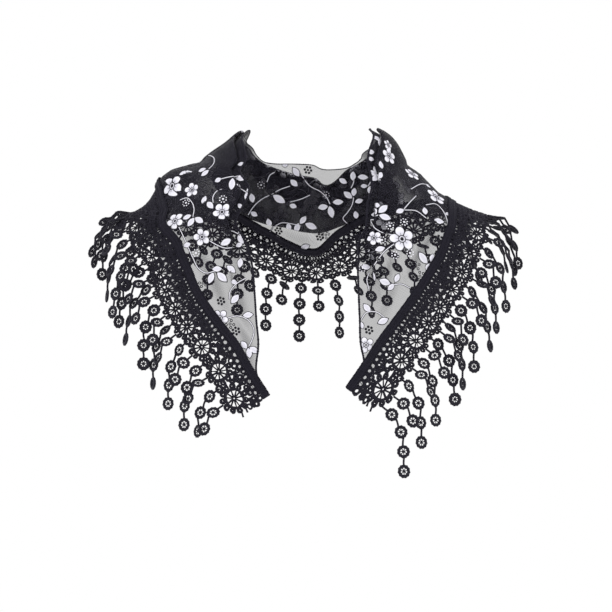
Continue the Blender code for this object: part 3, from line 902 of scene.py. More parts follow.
# Lace border: its repeats are modelled flat and laid along the border
lace = {
    # kinds of repeat: distance of the medallion from the braid, half widths of its spokes, wire of its
    # eyelets, then the rows of the net with their distance, radius, wire, stretch and cells
    "kinds": {
        "open": (26.6, (0.6, 0.95), 1.35, ((6.1, 2.4, 1.1, 1.15, 5), (11.2, 1.95, 1.1, 1.1, 5))),
        "dense": (26.6, (0.8, 1.15), 1.4, ((6.2, 2.3, 1.35, 1.3, 5), (11.0, 1.9, 1.35, 1.2, 6))),
        "back": (27.8, (0.7, 1.0), 1.35, ((7.3, 2.3, 1.1, 1.5, 5), (12.9, 1.8, 1.2, 1.0, 6))),
    },
    "dense": ((6, 24), (57, 72)),       # places between which the net is dense
    "variants": 3,
    "hub": (1.3, 0.85),                 # radius and wire of the medallion's middle and of its wheel
    "wheel": (8.4, 1.4),
    "spokes": 11,
    "spokeEnds": (1.3, 7.3),
    "eyelets": 11,
    "eyeletAt": 11.1,
    "eyelet": 1.75,
    # x, distance from the medallion's middle and radius of the rings towards the net
    "corners": ((-12.3, -12.2, 1.7), (-8.6, -12.9, 1.5), (8.6, -12.9, 1.5), (12.3, -12.2, 1.7)),
    # the same for the rings between two medallions, with the points on each, and the bar there
    "links": ((0, -6.6, 1.6, 10), (0, -10.4, 1.5, 10), (0, 7.6, 2.6, 12)),
    "linkBar": (3.0, 1.3),
    # cut threads at the two ends, and the ring they leave
    "stubs": (((3.0, -12.5), (-1.6, -12.0)), ((4.0, -5.0), (-2.0, -3.4)), ((3.6, 0.0), (-3.2, 2.2))),
    "stubRing": (1.2, -8.0, 2.0),
    "stubWire": 0.95,
    # hand work: how far a ring is off its place, turned and sized, and how often a thread crosses its hole
    "off": 0.5,
    "turned": 0.6,
    "sizes": (0.85, 1.1),
    "wires": (0.9, 1.15),
    "crossed": 0.55,
    "crossThread": 0.32,
    "spokeOff": 0.14,
    "eyeletOff": 0.08,
    "wander": (0.4, 0.5),               # of all that is laid on the border, along and across
}


def laceKind(place):
    if any(first <= place <= last for first, last in lace["dense"]):
        return "dense"
    return "back" if leftRidge < place < rightRidge else "open"


# A ring of the net, now and then with a thread across
def netRing(x, y, radius, wire, stretch):
    off = lace["off"]
    x += rng.uniform(-off, off)
    size = radius * rng.uniform(*lace["sizes"])
    y += rng.uniform(-off, off)
    lean = rng.uniform(-lace["turned"], lace["turned"]) / stretch
    parts = [addRing(x, y, size, wire * rng.uniform(*lace["wires"]), stretch, lean, 9, flat=0.75)]
    if rng.random() < lace["crossed"]:
        along, across = onCircle(size, rng.uniform(0, math.pi))
        ends = (x - along, y - across), (x + along, y + across)
        parts.append(addBar(*ends, lace["crossThread"], sides=4))
    return parts


def laceCell(kind):
    half = border["halfRepeat"]
    centre, spokeWidths, eyeletWire, netRows = lace["kinds"][kind]
    parts = []
    for row, (y, radius, wire, stretch, cells) in enumerate(netRows):
        pitch = 2 * half / cells
        shift = 0 if row % 2 else pitch / 2
        for cell in range(cells):
            parts += netRing(-half + shift + cell * pitch, y, radius, wire, stretch)
    for x, y, radius in lace["corners"]:
        parts.append(addRing(x, centre + y, radius, eyeletWire, flat=0.75))
    parts.append(addRing(0, centre, *lace["hub"], around=10, sides=5))
    parts.append(addRing(0, centre, *lace["wheel"], around=30, sides=6, flat=0.5))
    for index in range(lace["spokes"]):
        off = rng.uniform(-lace["spokeOff"], lace["spokeOff"])
        turn = math.pi / 2 - 2 * math.pi * (index + off) / lace["spokes"]
        parts.append(addSpoke(turn, lace["spokeEnds"], rng.uniform(*spokeWidths), centre))
    for index in range(lace["eyelets"]):
        off = rng.uniform(-lace["eyeletOff"], lace["eyeletOff"])
        turn = math.pi / 2 - 2 * math.pi * (index + 0.5 + off) / lace["eyelets"]
        x, y = onCircle(lace["eyeletAt"], turn)
        size = lace["eyelet"] * rng.uniform(*lace["sizes"])
        parts.append(addRing(x, centre + y, size, eyeletWire, flat=0.75))
    return takeShape(parts)


# What links two medallions, about the line between them
def laceLink(kind):
    centre, _, wire, _ = lace["kinds"][kind]
    parts = []
    for x, y, radius, count in lace["links"]:
        parts.append(addRing(x, centre + y, radius, wire, around=count, flat=0.75))
    reach, radius = lace["linkBar"]
    parts.append(addBar((-reach, centre), (reach, centre), radius))
    return takeShape(parts)


# Cut threads at the two ends of the border
def laceStubs():
    centre, wire = lace["kinds"]["open"][0], lace["stubWire"]
    x, y, radius = lace["stubRing"]
    parts = [addRing(x, centre + y, radius, wire, flat=0.75)]
    for (x1, y1), (x2, y2) in lace["stubs"]:
        parts.append(addBar((x1, centre + y1), (x2, centre + y2), wire))
    return takeShape(parts)


# The small wander of hand-guided stitches: two slow waves that bend each other, and a quick one
def uneven(along, beside, reach):
    first = np.sin(along * 0.53 + 1.7 * np.sin(beside * 0.31))
    second = np.sin(beside * 0.71 + 2.3 * np.sin(along * 0.19))
    return reach * 0.5 * (first + second + 0.6 * np.sin(along * 1.37 + beside * 0.9))


# One flat shape on the border, the other way round where way is -1
def addLace(heap, shape, place, way=1):
    points, faces = shape
    x, y = points[:, 0] * way + border["halfRepeat"] * place, points[:, 1]
    along = (x + uneven(x, y, lace["wander"][0])) / border["halfRepeat"]
    across = y + uneven(y, x, lace["wander"][1])
    heap.add(borderPoint(along, across, points[:, 2]), [face[::way] for face in faces])


def lacePiece(side):
    first, last = stretches[side][:2]
    heap = Heap()
    for place in range(first, last + 1):
        if place % 2:
            addLace(heap, laceCells[laceKind(place)][place // 2 % lace["variants"]], place)
        elif 0 < place < lastPlace and place != last:
            addLace(heap, laceLinks[laceKind(place)], place)
    if first == 0:
        addLace(heap, laceStubShape, 0)
    if last == lastPlace:
        addLace(heap, laceStubShape, lastPlace, -1)
    return heap.piece("lace_border_" + side, laceMaterial, "black_lace")


laceCells = {kind: [laceCell(kind) for _ in range(lace["variants"])] for kind in lace["kinds"]}
laceLinks = {kind: laceLink(kind) for kind in lace["kinds"]}
laceStubShape = laceStubs()
print("lace repeat:", len(laceCells["open"][0][1]), "faces")
lacePieces = {side: lacePiece(side) for side in stretches}

# Drops: rosettes on threads
drops = {
    "long": 4,
    "short": 2,
    "ends": {2: 3},         # the left tail's first long drop is shorter
    "lastRoot": 0.3,        # the right tail's last drop hangs this close to its end
    "pull": (0.15, 0.5, 0.88, 1.0),     # how far each rosette in turn gives in to hanging straight down
    # drops that pass a neighbour, by place: their lean along the border and how much more they stand off
    "leans": {
        9: (-0.48, 0), 10: (-0.12, 2), 11: (-0.12, 0), 12: (0.18, 0), 14: (0.18, 0), 15: (-0.24, 4),
        16: (0.12, 9), 17: (0.12, 0), 19: (-0.36, 0), 20: (-0.18, 0), 23: (-0.18, 0), 59: (0.12, 0),
        60: (-0.18, 0), 62: (-0.12, 0), 63: (0.48, 0), 66: (-0.12, 0), 69: (0.36, 0), 70: (0, 2),
        72: (-0.12, 0),
    },
    "shortLift": 6.0,
    "twist": math.radians(20),
    "shoulderTwist": math.radians(35),
    "twistSpread": 0.2,
    "sizes": (0.96, 1.03),
    "stripGap": 0.8,        # the strip that carries the drops: its place past the lace, and its width
    "strip": 2.2,
    "rootHalf": 0.8,
    "thread": 1.05,
    "threadStep": 1.6,
    "threadIn": 2.0,        # the first thread starts this far under the strip
    "firstThread": 2.0,
    "bow": 0.4,
}
rosette = {
    "radius": 6.25,
    "threadAt": 5.4,        # its threads end this far from its middle
    # middle and half width of its ring: worked open near the tails, up to these places, and close elsewhere
    "openRing": (4.9, 1.65),
    "closeRing": (4.7, 1.9),
    "openUpTo": (7, 73),
    "scallops": (11, 0.055),
    "scallopFrom": (4.0, 2.5),
    "knot": (1.6, 1.6, 1.0),
    "spokes": 7,
    "spokeEnds": (1.3, 3.7),
    "spoke": 0.5,
}


# A crocheted disc: a scalloped ring round a knot, with small holes between its spokes
def rosetteShape(ringAt, ringSize):
    ring, ringFaces = takeShape([addRing(0, 0, ringAt, ringSize, around=33, sides=6, flat=0.6)])
    count, depth = rosette["scallops"]
    start, rise = rosette["scallopFrom"]
    outer = np.clip((np.hypot(ring[:, 0], ring[:, 1]) - start) / rise, 0, 1)
    scallop = 1 + depth * np.cos(count * np.arctan2(ring[:, 1], ring[:, 0])) * outer
    ring[:, :2] *= scallop[:, None]
    parts = [addKnob(0, 0, rosette["knot"], segments=8, rings=5)]
    for index in range(rosette["spokes"]):
        turn = 2 * math.pi * (index + 0.5) / rosette["spokes"]
        parts.append(addSpoke(turn, rosette["spokeEnds"], rosette["spoke"]))
    disc = Heap()
    disc.add(ring, ringFaces)
    disc.add(*takeShape(parts))
    return np.concatenate(disc.points), disc.faces


def borderWidth(place):
    fromValley = min(place % 2, 2 - place % 2)
    return border["valley"] + (border["peak"] - border["valley"]) * fromValley


# Centres and directions of one drop's rosettes, hung over the form
def dropPath(start, lead, lean, lift, count, pitch):
    centres, point = [], start
    for index, pull in enumerate(drops["pull"][:count]):
        heading = unit(lead * (1 - pull) + np.array((0, 0, -1.0)) * pull + lean)
        step = pitch if index else drops["firstThread"] + rosette["radius"]
        target = point + heading * step
        floor = target - outward(target) * lift
        if index == 0 or formReach(floor) < 1:
            target = settle(floor)
            target = target + outward(target) * lift
        heading = unit(target - point)
        point = point + heading * step
        centres.append((point, heading))
    return centres


# The root of a drop: its middle on the strip, the way out from the lace and the way along it
def dropRoot(place):
    edge = borderWidth(place) + drops["stripGap"]
    reach = drops["rootHalf"] / border["halfRepeat"]
    spots = np.array([place - reach, place + reach, place - reach])
    rows = np.array([edge + drops["strip"], edge + drops["strip"], edge])
    first, second, inner = borderPoint(spots, rows, np.zeros(3))
    return (first + second) / 2, unit(first - inner), unit(second - first)


def addDrop(heap, place):
    isLong = place % 2 != 1
    start, lead, rootLine = dropRoot(place)
    lean, extra = drops["leans"].get(place, (0, 0))
    lift = extra + (0.0 if isLong else drops["shortLift"])
    count = drops["ends"].get(place, drops["long"] if isLong else drops["short"])
    pitch = columnRows[int(place * fine), rowHas["rosettes"]]
    twist = drops["twist"] + drops["shoulderTwist"] * abs(outward(start)[0]) ** 3
    twist = -twist if start[0] > 0 and start[1] < 0 else twist
    firstClose, lastClose = rosette["openUpTo"]
    shape, faces = rosettes["close" if firstClose < place < lastClose else "open"]
    tail = start - lead * (drops["strip"] + drops["threadIn"])
    for centre, heading in dropPath(start, lead, rootLine * lean, lift, count, pitch):
        flat = unit(rootLine - heading * rootLine.dot(heading))
        turn = twist + rng.uniform(-drops["twistSpread"], drops["twistSpread"])
        across = flat * math.cos(turn) + np.cross(heading, flat) * math.sin(turn)
        size = rng.uniform(*drops["sizes"])
        heap.add(placed(shape * size, centre, -heading, across, np.cross(-heading, across)), faces)
        top = centre - heading * rosette["threadAt"]
        bow = (tail + top) / 2 + np.array((rng.uniform(-drops["bow"], drops["bow"]), 0, 0))
        heap.add(*strand(smoothLine([tail, bow, top], drops["threadStep"]), drops["thread"], 5))
        tail = centre + heading * rosette["threadAt"]


def dropsPiece(side):
    first, last = stretches[side][:2]
    heap = Heap()
    for place in range(max(first, 1), last):
        addDrop(heap, place)
    if last == lastPlace:
        addDrop(heap, last - drops["lastRoot"])
    return heap.piece("drops_" + side, laceMaterial, "black_lace")


rosettes = {kind: rosetteShape(*rosette[kind + "Ring"]) for kind in ("open", "close")}
dropPieces = {side: dropsPiece(side) for side in stretches}
replaced = {"mesh": clothPieces, "braid": braidPieces, "lace": lacePieces, "fringe": dropPieces}
for node, pieces in replaced.items():
    for side, piece in pieces.items():
        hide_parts(node + "_" + side)
print("lace and drops:", [len(piece.data.polygons) for piece in (*lacePieces.values(), *dropPieces.values())])

# Stitched motifs, laid on the cloth. Their places are given as seen from the front, in mm: x and height
viewer = {
    "distance": 3000.0,
    "height": -141.0,
    "near": 3.0,            # layers that pass this close to a spot count as under it
    "edgeOn": 0.25,         # least share of the cloth's normal that faces the viewer
    "leastArea": 1.5,
    "rounds": 4,
    "steps": (0.4, 5.0),    # longest correction along and across, in half repeats and mm
}
stem = {
    "width": 0.5,
    "tone": 0.9,
    "rim": 0.26,
    "rimAt": 0.65,
    "rimFlat": 1.5,
    "step": 1.5,
    "break": 7.0,           # it is cut where its next point is further off than this
    "least": 4,             # points of the shortest stem
}


# Where points come in the front view
def seen(points):
    scale = 1 + points[..., 1] / viewer["distance"]
    return points[..., 0] / scale, viewer["height"] + (points[..., 2] - viewer["height"]) / scale


class Motifs:
    # What is stitched on one stretch of cloth
    def __init__(self, sheet):
        self.sheet = sheet
        self.white = Heap()
        self.black = Heap()

    # the spot of the nearest layer that the front view shows at a place
    def spot(self, x, z):
        sheet = self.sheet
        seenX, seenZ = seen(sheet.grid)
        besideX, besideZ = x - seenX, z - seenZ
        miss = np.hypot(besideX, besideZ)
        normals = sheet.normals
        facing = np.maximum(np.abs(normals[..., 1]), viewer["edgeOn"])
        slide = (normals[..., 0] * besideX + normals[..., 2] * besideZ) * np.sign(normals[..., 1])
        depth = sheet.grid[..., 1] - slide / facing
        near = miss < max(viewer["near"], miss.min() + 1)
        i, j = np.unravel_index(np.argmin(np.where(near, depth, np.inf)), miss.shape)
        place, flat = float(sheet.places[i]), float(sheet.flat[i, j])
        for _ in range(viewer["rounds"]):
            atX, atZ = seen(sheet.point(place, flat))
            along, across = sheet.frame(place, flat)
            view = np.array([[along[0], across[0]], [along[2], across[2]]])
            if abs(np.linalg.det(view)) < viewer["leastArea"]:
                break
            longest = np.array(viewer["steps"])
            step = np.clip(np.linalg.solve(view, np.array([x - atX, z - atZ])), -longest, longest)
            place = float(np.clip(place + step[0], sheet.places[0], sheet.places[-1]))
            flat = flat + float(step[1])
        return place, flat

    # the angle on the cloth of a direction seen from the front
    def turned(self, place, flat, degrees):
        along, across = self.sheet.frame(place, flat)
        normal = unit(np.cross(along, across))
        square = np.cross(across, normal)
        look = np.array((math.cos(math.radians(degrees)), 0, math.sin(math.radians(degrees))))
        look = look - normal * look.dot(normal)
        return math.atan2(look.dot(across), look.dot(square))

    def stitch(self, heap, shape, place, flat, angle, size=1.0, lift=0.0, values=None):
        points, faces = shape
        heap.add(self.sheet.lay(points * size, place, flat, angle, lift), faces, values)

    def star(self, place, flat, angle):
        self.stitch(self.white, starShape, place, flat, angle, lift=0.2, values=np.ones(len(starShape[0])))

    def leaf(self, place, flat, angle, length):
        share = length / leaf["length"]
        size = np.array((share, share ** leaf["slimming"], 1.0))
        self.stitch(self.white, leafShape, place, flat, angle, size, values=leafTone)
        self.stitch(self.black, leafRim, place, flat, angle, size)

    def flower(self, place, flat, angle, radius):
        size = np.array((radius / flower["radius"], radius / flower["radius"], 1.0))
        self.stitch(self.white, flowerShape, place, flat, angle, size, values=flowerTone)
        self.stitch(self.black, flowerRim, place, flat, angle, size)

    def stem(self, spots):
        if len(spots) < stem["least"]:
            return
        place, flat = np.array(spots).T
        points = self.sheet.point(place, flat)
        normals = unit(self.sheet.read(self.sheet.normals, place, flat))
        verts, faces = strand(points, stem["width"], normals=normals)
        self.white.add(verts, faces, np.full(len(verts), stem["tone"]))
        side = unit(np.cross(normals, unit(np.gradient(points, axis=0)))) * stem["rimAt"]
        for rim in (points - side, points + side):
            self.black.add(*strand(rim, stem["rim"], 4, flat=stem["rimFlat"], normals=normals))

    # a stem drawn as seen from the front, cut where it would leave its layer
    def drawnStem(self, line):
        run, last = [], None
        for x, z in smoothLine(line, stem["step"]):
            spot = self.spot(x, z)
            point = self.sheet.point(*spot)
            if last is not None and np.linalg.norm(point - last) > stem["break"]:
                self.stem(run)
                run = []
            run.append(spot)
            last = point
        self.stem(run)


leaf = {
    "length": 12.0,
    "slimming": 0.6,        # power by which it gets wider as it gets longer
    "half": (6.2, 3.5, 0.5),
    "rimHalf": (6.7, 3.8),
    "rimWire": (70, 400),   # growth of a hair-thin ring's width and height
    "tone": (1.5, 0.6, -0.1),       # from the middle to the sides, towards the tips, and where it starts
}


# A pointed leaf, and its tone: pale at the rim and the tips
def leafModel():
    knob = addKnob(0, 0, (1, 1, 1), segments=10, rings=8)
    knob.rotation_euler = (0, math.pi / 2, 0)
    points, faces = takeShape([knob])
    x = np.clip(points[:, 0], -1, 1)
    slim = np.clip(1 - x * x, 0, 1) ** 0.5
    shape = np.stack([x, points[:, 1] * slim, points[:, 2]], -1) * leaf["half"]
    beside, tips, start = leaf["tone"]
    return (shape, faces), np.clip(np.abs(points[:, 1]) * beside + np.abs(x) ** 3 * tips + start, 0, 1)


def leafRimModel():
    points, faces = takeShape([addRing(0, 0, 1.0, 0.001, around=20, sides=4)])
    angle = np.arctan2(points[:, 1], points[:, 0])
    length, width = leaf["rimHalf"]
    ring = np.stack([np.cos(angle) * length, np.sin(angle) * np.abs(np.sin(angle)) * width], -1)
    away = np.linalg.norm(points[:, :2], axis=-1) - 1
    wide, high = leaf["rimWire"]
    return np.concatenate([ring * (1 + away[:, None] * wide), points[:, 2:] * high], -1), faces


flower = {
    "radius": 9.5,
    "petals": 5,
    "reach": 5.75,
    "petal": (3.75, 3.45, 0.5),
    "petalRim": (3.9, 0.26),
    "petalRimSize": (1.0, 0.93, 1.4),
    "eye": (1.9, 0.55),
    "eyeRim": (2.75, 0.34),
    "eyeKnot": (1.1, 1.1, 0.75),
    "veins": (2.4, 4.6),
    "vein": 0.28,
    "tone": (2.5, 4.5, 0.35),       # paler from here on, over this much, and the tone it starts with
}


flower["turns"] = [math.radians(90 + 360 * index / flower["petals"]) for index in range(flower["petals"])]


# Five petals round a ring, and their tone: pale from the middle outwards
def flowerModel():
    reach, turns = flower["reach"], flower["turns"]
    parts = [addKnob(*onCircle(reach, turn), flower["petal"], turn, 12, 6) for turn in turns]
    parts.append(addRing(0, 0, *flower["eye"], around=14, sides=5))
    points, faces = takeShape(parts)
    start, rise, least = flower["tone"]
    return (points, faces), np.clip((np.hypot(points[:, 0], points[:, 1]) - start) / rise, least, 1)


def flowerRimModel():
    parts = []
    for turn in flower["turns"]:
        spot = onCircle(flower["reach"], turn)
        parts.append(addRing(*spot, *flower["petalRim"], turn=turn, around=14, sides=4))
        parts[-1].scale = flower["petalRimSize"]
    for turn in flower["turns"]:
        parts.append(addSpoke(turn, flower["veins"], flower["vein"], flat=2.6))
    parts.append(addRing(0, 0, *flower["eyeRim"], around=14, sides=4, flat=1.6))
    parts.append(addKnob(0, 0, flower["eyeKnot"], segments=7, rings=5))
    return takeShape(parts)


# Small flowers: number of dots, their distance, their radius and the radius of the middle
dots = {"star": (8, 3.4, 0.75, 1.2), "black": (6, 3.2, 1.45, 1.3), "heights": (0.45, 0.5)}
rings = {
    "spots": ((0, 0), (3.4, 1.0), (-2.6, 2.6), (0.9, 4.2), (1.6, -3.3), (-2.4, -2.6)),
    "ring": (1.15, 0.42),
}


def dotsModel(count, reach, dot, middle):
    height, middleHeight = dots["heights"]
    parts = [addKnob(0, 0, (middle, middle, middleHeight), segments=6, rings=4)]
    for index in range(count):
        spot = onCircle(reach, 2 * math.pi * index / count)
        parts.append(addKnob(*spot, (dot, dot, height), segments=6, rings=4))
    return takeShape(parts)


leafShape, leafTone = leafModel()
leafRim = leafRimModel()
flowerShape, flowerTone = flowerModel()
flowerRim = flowerRimModel()
starShape = dotsModel(*dots["star"])
blackFlower = dotsModel(*dots["black"])
blackRings = takeShape([addRing(x, y, *rings["ring"], around=8, sides=4) for x, y in rings["spots"]])

# Seen from the front: flowers as x, height and radius, leaves as x, height, angle and length, stems as lists
# of points, and the rest as x and height
layout = {
    "left_front": {
        "flowers": (
            (-84, -47, 9.5), (-131, -56, 9.5), (-114, -25, 8), (-104, -72, 9), (-86, -153, 8.5),
            (-134, -21, 13),
        ),
        "leaves": (
            (-119, -52, 20, 9), (-115, -57, 55, 10.5), (-107, -55, -35, 11), (-119, -80, 15, 8),
            (-104, -5, 0, 9), (-101, -8, 40, 9.5), (-92, -4, 10, 9), (-65, -13, 0, 11),
            (-74, -19, 85, 12), (-88, -15, 25, 7), (-52, -7, 90, 12), (-65, 1, 5, 7),
            (-102, -35, 75, 9), (-96, -40, -50, 10), (-66, -41, -45, 6), (-67, -80, 20, 7),
            (-80, -77, 25, 12), (-89, -104, 0, 9.5), (-75, -104, -35, 11), (-95, -113, 70, 11.5),
            (-84, -112, -45, 13), (-72, -117, 0, 8), (-66, -98, 80, 10), (-71, -134, 50, 11),
            (-58, -150, 5, 10), (-62, -180, -50, 9), (-57, -188, -80, 10), (-52, -185, -30, 10),
            (-121, -7, 15, 14),
        ),
        "stems": (
            ((-126, -35), (-119, -33), (-112, -43), (-113, -52)),
            ((-127, -62), (-120, -77), (-113, -93), (-107, -104), (-100, -108), (-91, -106)),
            ((-97, -4), (-92, 2), (-92, 7), (-97, 10)),
            ((-85, -14), (-77, -12), (-68, -11)),
            ((-53, -13), (-58, -6), (-62, 1)),
            ((-93, -38), (-93, -32), (-89, -26), (-83, -24)),
            ((-96, -76), (-89, -80), (-81, -83), (-70, -82)),
            ((-77, -135), (-76, -127), (-71, -120), (-60, -113)),
            ((-78, -153), (-69, -151), (-58, -155), (-52, -165), (-54, -175), (-57, -181)),
        ),
        "stars": ((-83, -34), (-120, -38), (-110, -88)),
        "blacks": ((-85, -136), (-100, -128), (-70, -166)),
        "rings": ((-76, -159), (-103, -118)),
    },
    "right_front": {
        "flowers": (
            (96, -74, 13), (83, 9, 9), (106, -9, 9), (130, -32, 11), (82, 20, 6), (60, -180, 8),
            (68, -73, 8),
        ),
        "leaves": (
            (69, -46, -60, 8), (77, -44, 45, 12), (79, -52, -20, 12), (74, -84, 20, 10),
            (60, -102, -5, 9), (68, -111, -70, 10), (79, -117, -20, 12), (91, -113, 60, 9),
            (85, -122, 40, 9), (122, -21, -30, 6), (94, -46, 30, 9), (119, -46, 85, 9),
            (133, -56, 5, 11), (142, -49, 30, 7.5), (117, -93, -45, 14), (126, -93, 70, 8),
            (122, -102, 60, 8), (89, -14, 85, 12), (75, 0, 85, 9), (65, 13, 10, 8), (65, 6, 0, 7),
            (61, -143, -50, 10), (77, -156, 25, 11), (55, -160, -60, 8),
        ),
        "stems": (
            ((72, -50), (65, -54), (67, -61), (75, -67), (86, -70)),
            ((88, -79), (79, -86), (71, -96), (65, -105), (61, -114), (63, -125)),
            ((87, -120), (95, -119), (104, -123)),
            ((98, -45), (110, -46), (120, -53)),
            ((105, -24), (116, -19), (122, -20)),
            ((110, -31), (105, -36), (98, -44)),
            ((120, -40), (129, -39), (137, -46), (141, -55), (142, -60)),
            ((55, -155), (60, -148), (70, -147), (78, -152)),
        ),
        "stars": ((98, -57), (89, -90), (84, -61), (76, -75), (104, -88)),
        "blacks": ((125, -66), (136, -62), (133, -74), (63, -165)),
        "rings": ((110, -101), (114, -111)),
    },
    "back": {
        "flowers": (),
        "leaves": (
            (47, -11, 85, 10), (57, -12, 5, 11), (37, -16, -30, 9), (58, -21, 5, 7), (64, -25, 85, 9),
            (48, -27, 80, 9), (42, -30, -40, 11), (53, -36, 20, 8.5), (32, -37, 5, 11),
            (25, -47, -80, 13), (50, -50, -80, 9), (39, -63, 35, 8), (-54, -33, -80, 10),
            (-27, -34, -35, 15), (-52, -49, -30, 8), (-12, -18, -45, 10), (-23, -10, -40, 8),
            (-10, -7, -55, 11), (-3, -55, 55, 10), (5, -61, -25, 13), (17, -42, 15, 11),
            (-9, -63, 75, 11), (-37, -58, -75, 10), (-1, -82, 20, 10), (-13, -41, -20, 8),
            (-21, 0, 0, 6),
        ),
        "stems": (
            ((-58, -50), (-52, -41), (-44, -34), (-34, -29), (-27, -25), (-16, -21)),
            ((-39, -17), (-36, -10), (-27, -6)),
            ((-6, -8), (4, -21), (15, -27), (21, -33), (24, -39)),
            ((-37, -68), (-33, -63), (-25, -58), (-13, -59), (-5, -61)),
            ((48, -15), (47, -19), (45, -23)),
            ((62, -21), (68, -13), (74, -10), (77, -13)),
            ((48, -31), (46, -40), (41, -48), (37, -53), (43, -60)),
            ((-16, -37), (-5, -34), (4, -30)),
        ),
        "stars": ((20, -30), (-45, -20)),
        "blacks": ((2, -5), (14, -72)),
        "rings": ((20, -70),),
    },
}


# Puts down what is drawn, and keeps the points that it takes. Flowers and rings are turned by their x
def stitchLayout(motifs, plan):
    spots = {kind: [motifs.spot(*row[:2]) for row in plan[kind]] for kind in plan if kind != "stems"}
    taken = [spot for kind in ("flowers", "leaves", "stars", "blacks") for spot in spots[kind]]
    motifs.taken = motifs.sheet.point(*np.array(taken).T)
    for (x, _, radius), spot in zip(plan["flowers"], spots["flowers"]):
        motifs.flower(*spot, motifs.turned(*spot, x % 40), radius)
    for (_, _, angle, length), spot in zip(plan["leaves"], spots["leaves"]):
        motifs.leaf(*spot, motifs.turned(*spot, angle), length)
    for line in plan["stems"]:
        motifs.drawnStem(line)
    for spot in spots["stars"]:
        motifs.star(*spot, 0.4)
    for spot in spots["blacks"]:
        motifs.stitch(motifs.black, blackFlower, *spot, 0.2)
    for (x, _), spot in zip(plan["rings"], spots["rings"]):
        motifs.stitch(motifs.black, blackRings, *spot, x)


# The same flowers on the layers that the front view doesn't show, as a loose repeat
hidden = {
    "along": 2.4,
    "across": 27.0,
    "rows": 12,
    "ends": (1.2, 0.8),
    "margin": 9.0,
    "foldMargin": 4.0,
    "clear": 17.0,          # kept free round what the layout puts past the folds
    "leastTurn": 0.6,       # the fronts get them only where their cloth is folded over this far
    "wander": 0.3,
    "order": (0, 1, 2, 1, 0, 3),
}


def sprig(motifs, place, flat, angle, kind):
    def at(*spots):
        corners = np.array([(x, y, 0.0) for x, y in spots])
        return list(zip(*motifs.sheet.spread(corners, place, flat, angle)))

    def leaves(*rows):
        for (x, y, turn, length), spot in zip(rows, at(*[row[:2] for row in rows])):
            motifs.leaf(*spot, angle + turn, length)

    def stalk(*line):
        motifs.stem(at(*smoothLine(line, stem["step"])))

    if kind == 0:
        motifs.flower(*at((-6, -2))[0], angle, 9.0)
        stalk((1, 0), (6, 4), (12, 5))
        leaves((8, 8, 0.6, 9), (15, 2, -0.5, 9.5))
    elif kind == 1:
        stalk((-13, -5), (-7, 1), (0, 2), (7, -1))
        leaves((-8, 5.5, 0.9, 9), (10.5, 3.5, 0.7, 10), (13, -2, -0.1, 11), (9, -6, -1.0, 10))
    elif kind == 2:
        first, second = at((-5, 0), (5, 4))
        motifs.star(*first, angle)
        motifs.stitch(motifs.black, blackFlower, *second, angle)
    else:
        first, second = at((0, 0), (9, -4))
        motifs.stitch(motifs.black, blackFlower, *first, angle)
        motifs.stitch(motifs.black, blackRings, *second, angle)
        leaves((-9, 4, 1.2, 9))


# True where something that was put down from the layout is close
def isTaken(motifs, place, flat):
    return np.min(np.linalg.norm(motifs.taken - motifs.sheet.point(place, flat), axis=-1)) < hidden["clear"]


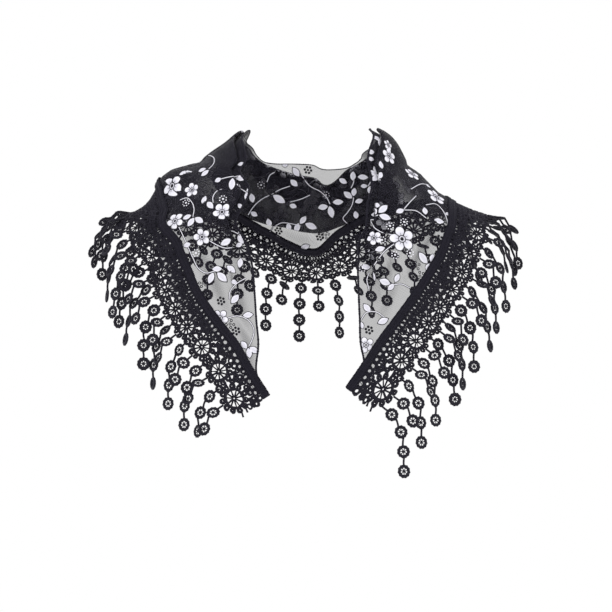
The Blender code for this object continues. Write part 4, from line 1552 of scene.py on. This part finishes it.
def stitchHidden(motifs, isBack):
    sheet = motifs.sheet
    margin, count = hidden["foldMargin"], 0
    start, end = sheet.places[0] + hidden["ends"][0], sheet.places[-1] - hidden["ends"][1]
    for step, place in enumerate(np.arange(start, end, hidden["along"])):
        column = int((place - sheet.places[0]) * fine)
        if not isBack and sheet.turned[column] < hidden["leastTurn"]:
            continue
        length = sheet.length[column]
        inner, outer = sheet.flat[column, sheet.firstRun], sheet.flat[column, sheet.lastRun]
        low, high = (inner + margin, length) if isBack else (0, outer - margin)
        for row in range(hidden["rows"]):
            flat = hidden["margin"] + (row + (step % 2) * 0.5) * hidden["across"]
            if flat > length - hidden["margin"] or not low < flat < high:
                continue
            if flat > outer and isTaken(motifs, place, flat):
                continue
            count += 1
            kind = hidden["order"][count % len(hidden["order"])]
            wander = rng.uniform(-hidden["wander"], hidden["wander"])
            sprig(motifs, place + wander, flat, rng.uniform(0, 6.28), kind)


for side, sheet in sheets.items():
    motifs = Motifs(sheet)
    stitchLayout(motifs, layout[side])
    stitchHidden(motifs, side == "back")
    white = motifs.white.piece("white_motifs_" + side, whiteMotifMaterial, "white_motifs", "tone")
    black = motifs.black.piece("black_motifs_" + side, blackMotifMaterial, "black_motifs")
    print("motifs", side, len(white.data.polygons), len(black.data.polygons))

# Each cloth piece is looked up with its sheet; nothing is changed
for side, piece in clothPieces.items():
    sheet = sheets[side]

# Floor, light and camera, in metres. The camera covers a square at the neck's plane
stage = {
    "floor": -1.25,
    "half": 4.0,
    "floorTone": (0.93, 0.93, 0.93, 1),
    # name, place, turn in degrees, power and size
    "lights": (
        ("keyLight", (-0.9, -1.5, 1.1), (50, 0, -30), 9, 1.2),
        ("fillLight", (1.2, -1.3, 0.5), (65, 0, 42), 4, 1.4),
    ),
    "camera": (0, -3.0, -0.141),
    "square": 0.612,
    "sensor": 36,
}
deselectAll()
bpy.ops.mesh.primitive_plane_add(size=2 * stage["half"], location=(0, 0, stage["floor"]))
floor = bpy.context.object
floor.name = "floor"
floorMaterial, tree, shader = newMaterial("paleFloor")
setInputs(tree, shader, {"Base Color": stage["floorTone"], "Roughness": 0.9})
floor.data.materials.append(floorMaterial)

world = bpy.data.worlds.new("studio")
world.use_nodes = True
setInputs(world.node_tree, world.node_tree.nodes["Background"], {"Color": (1, 1, 1, 1), "Strength": 1.0})
bpy.context.scene.world = world

for name, place, turn, power, size in stage["lights"]:
    bpy.ops.object.light_add(type="AREA", location=place, rotation=[math.radians(angle) for angle in turn])
    light = bpy.context.object
    light.name = name
    light.data.energy = power
    light.data.size = size

bpy.ops.object.camera_add(location=stage["camera"], rotation=(math.pi / 2, 0, 0))
camera = bpy.context.object
camera.data.sensor_width = stage["sensor"]
camera.data.lens = stage["sensor"] * -stage["camera"][1] / stage["square"]
bpy.context.scene.camera = camera
bpy.context.scene.view_settings.view_transform = "Standard"
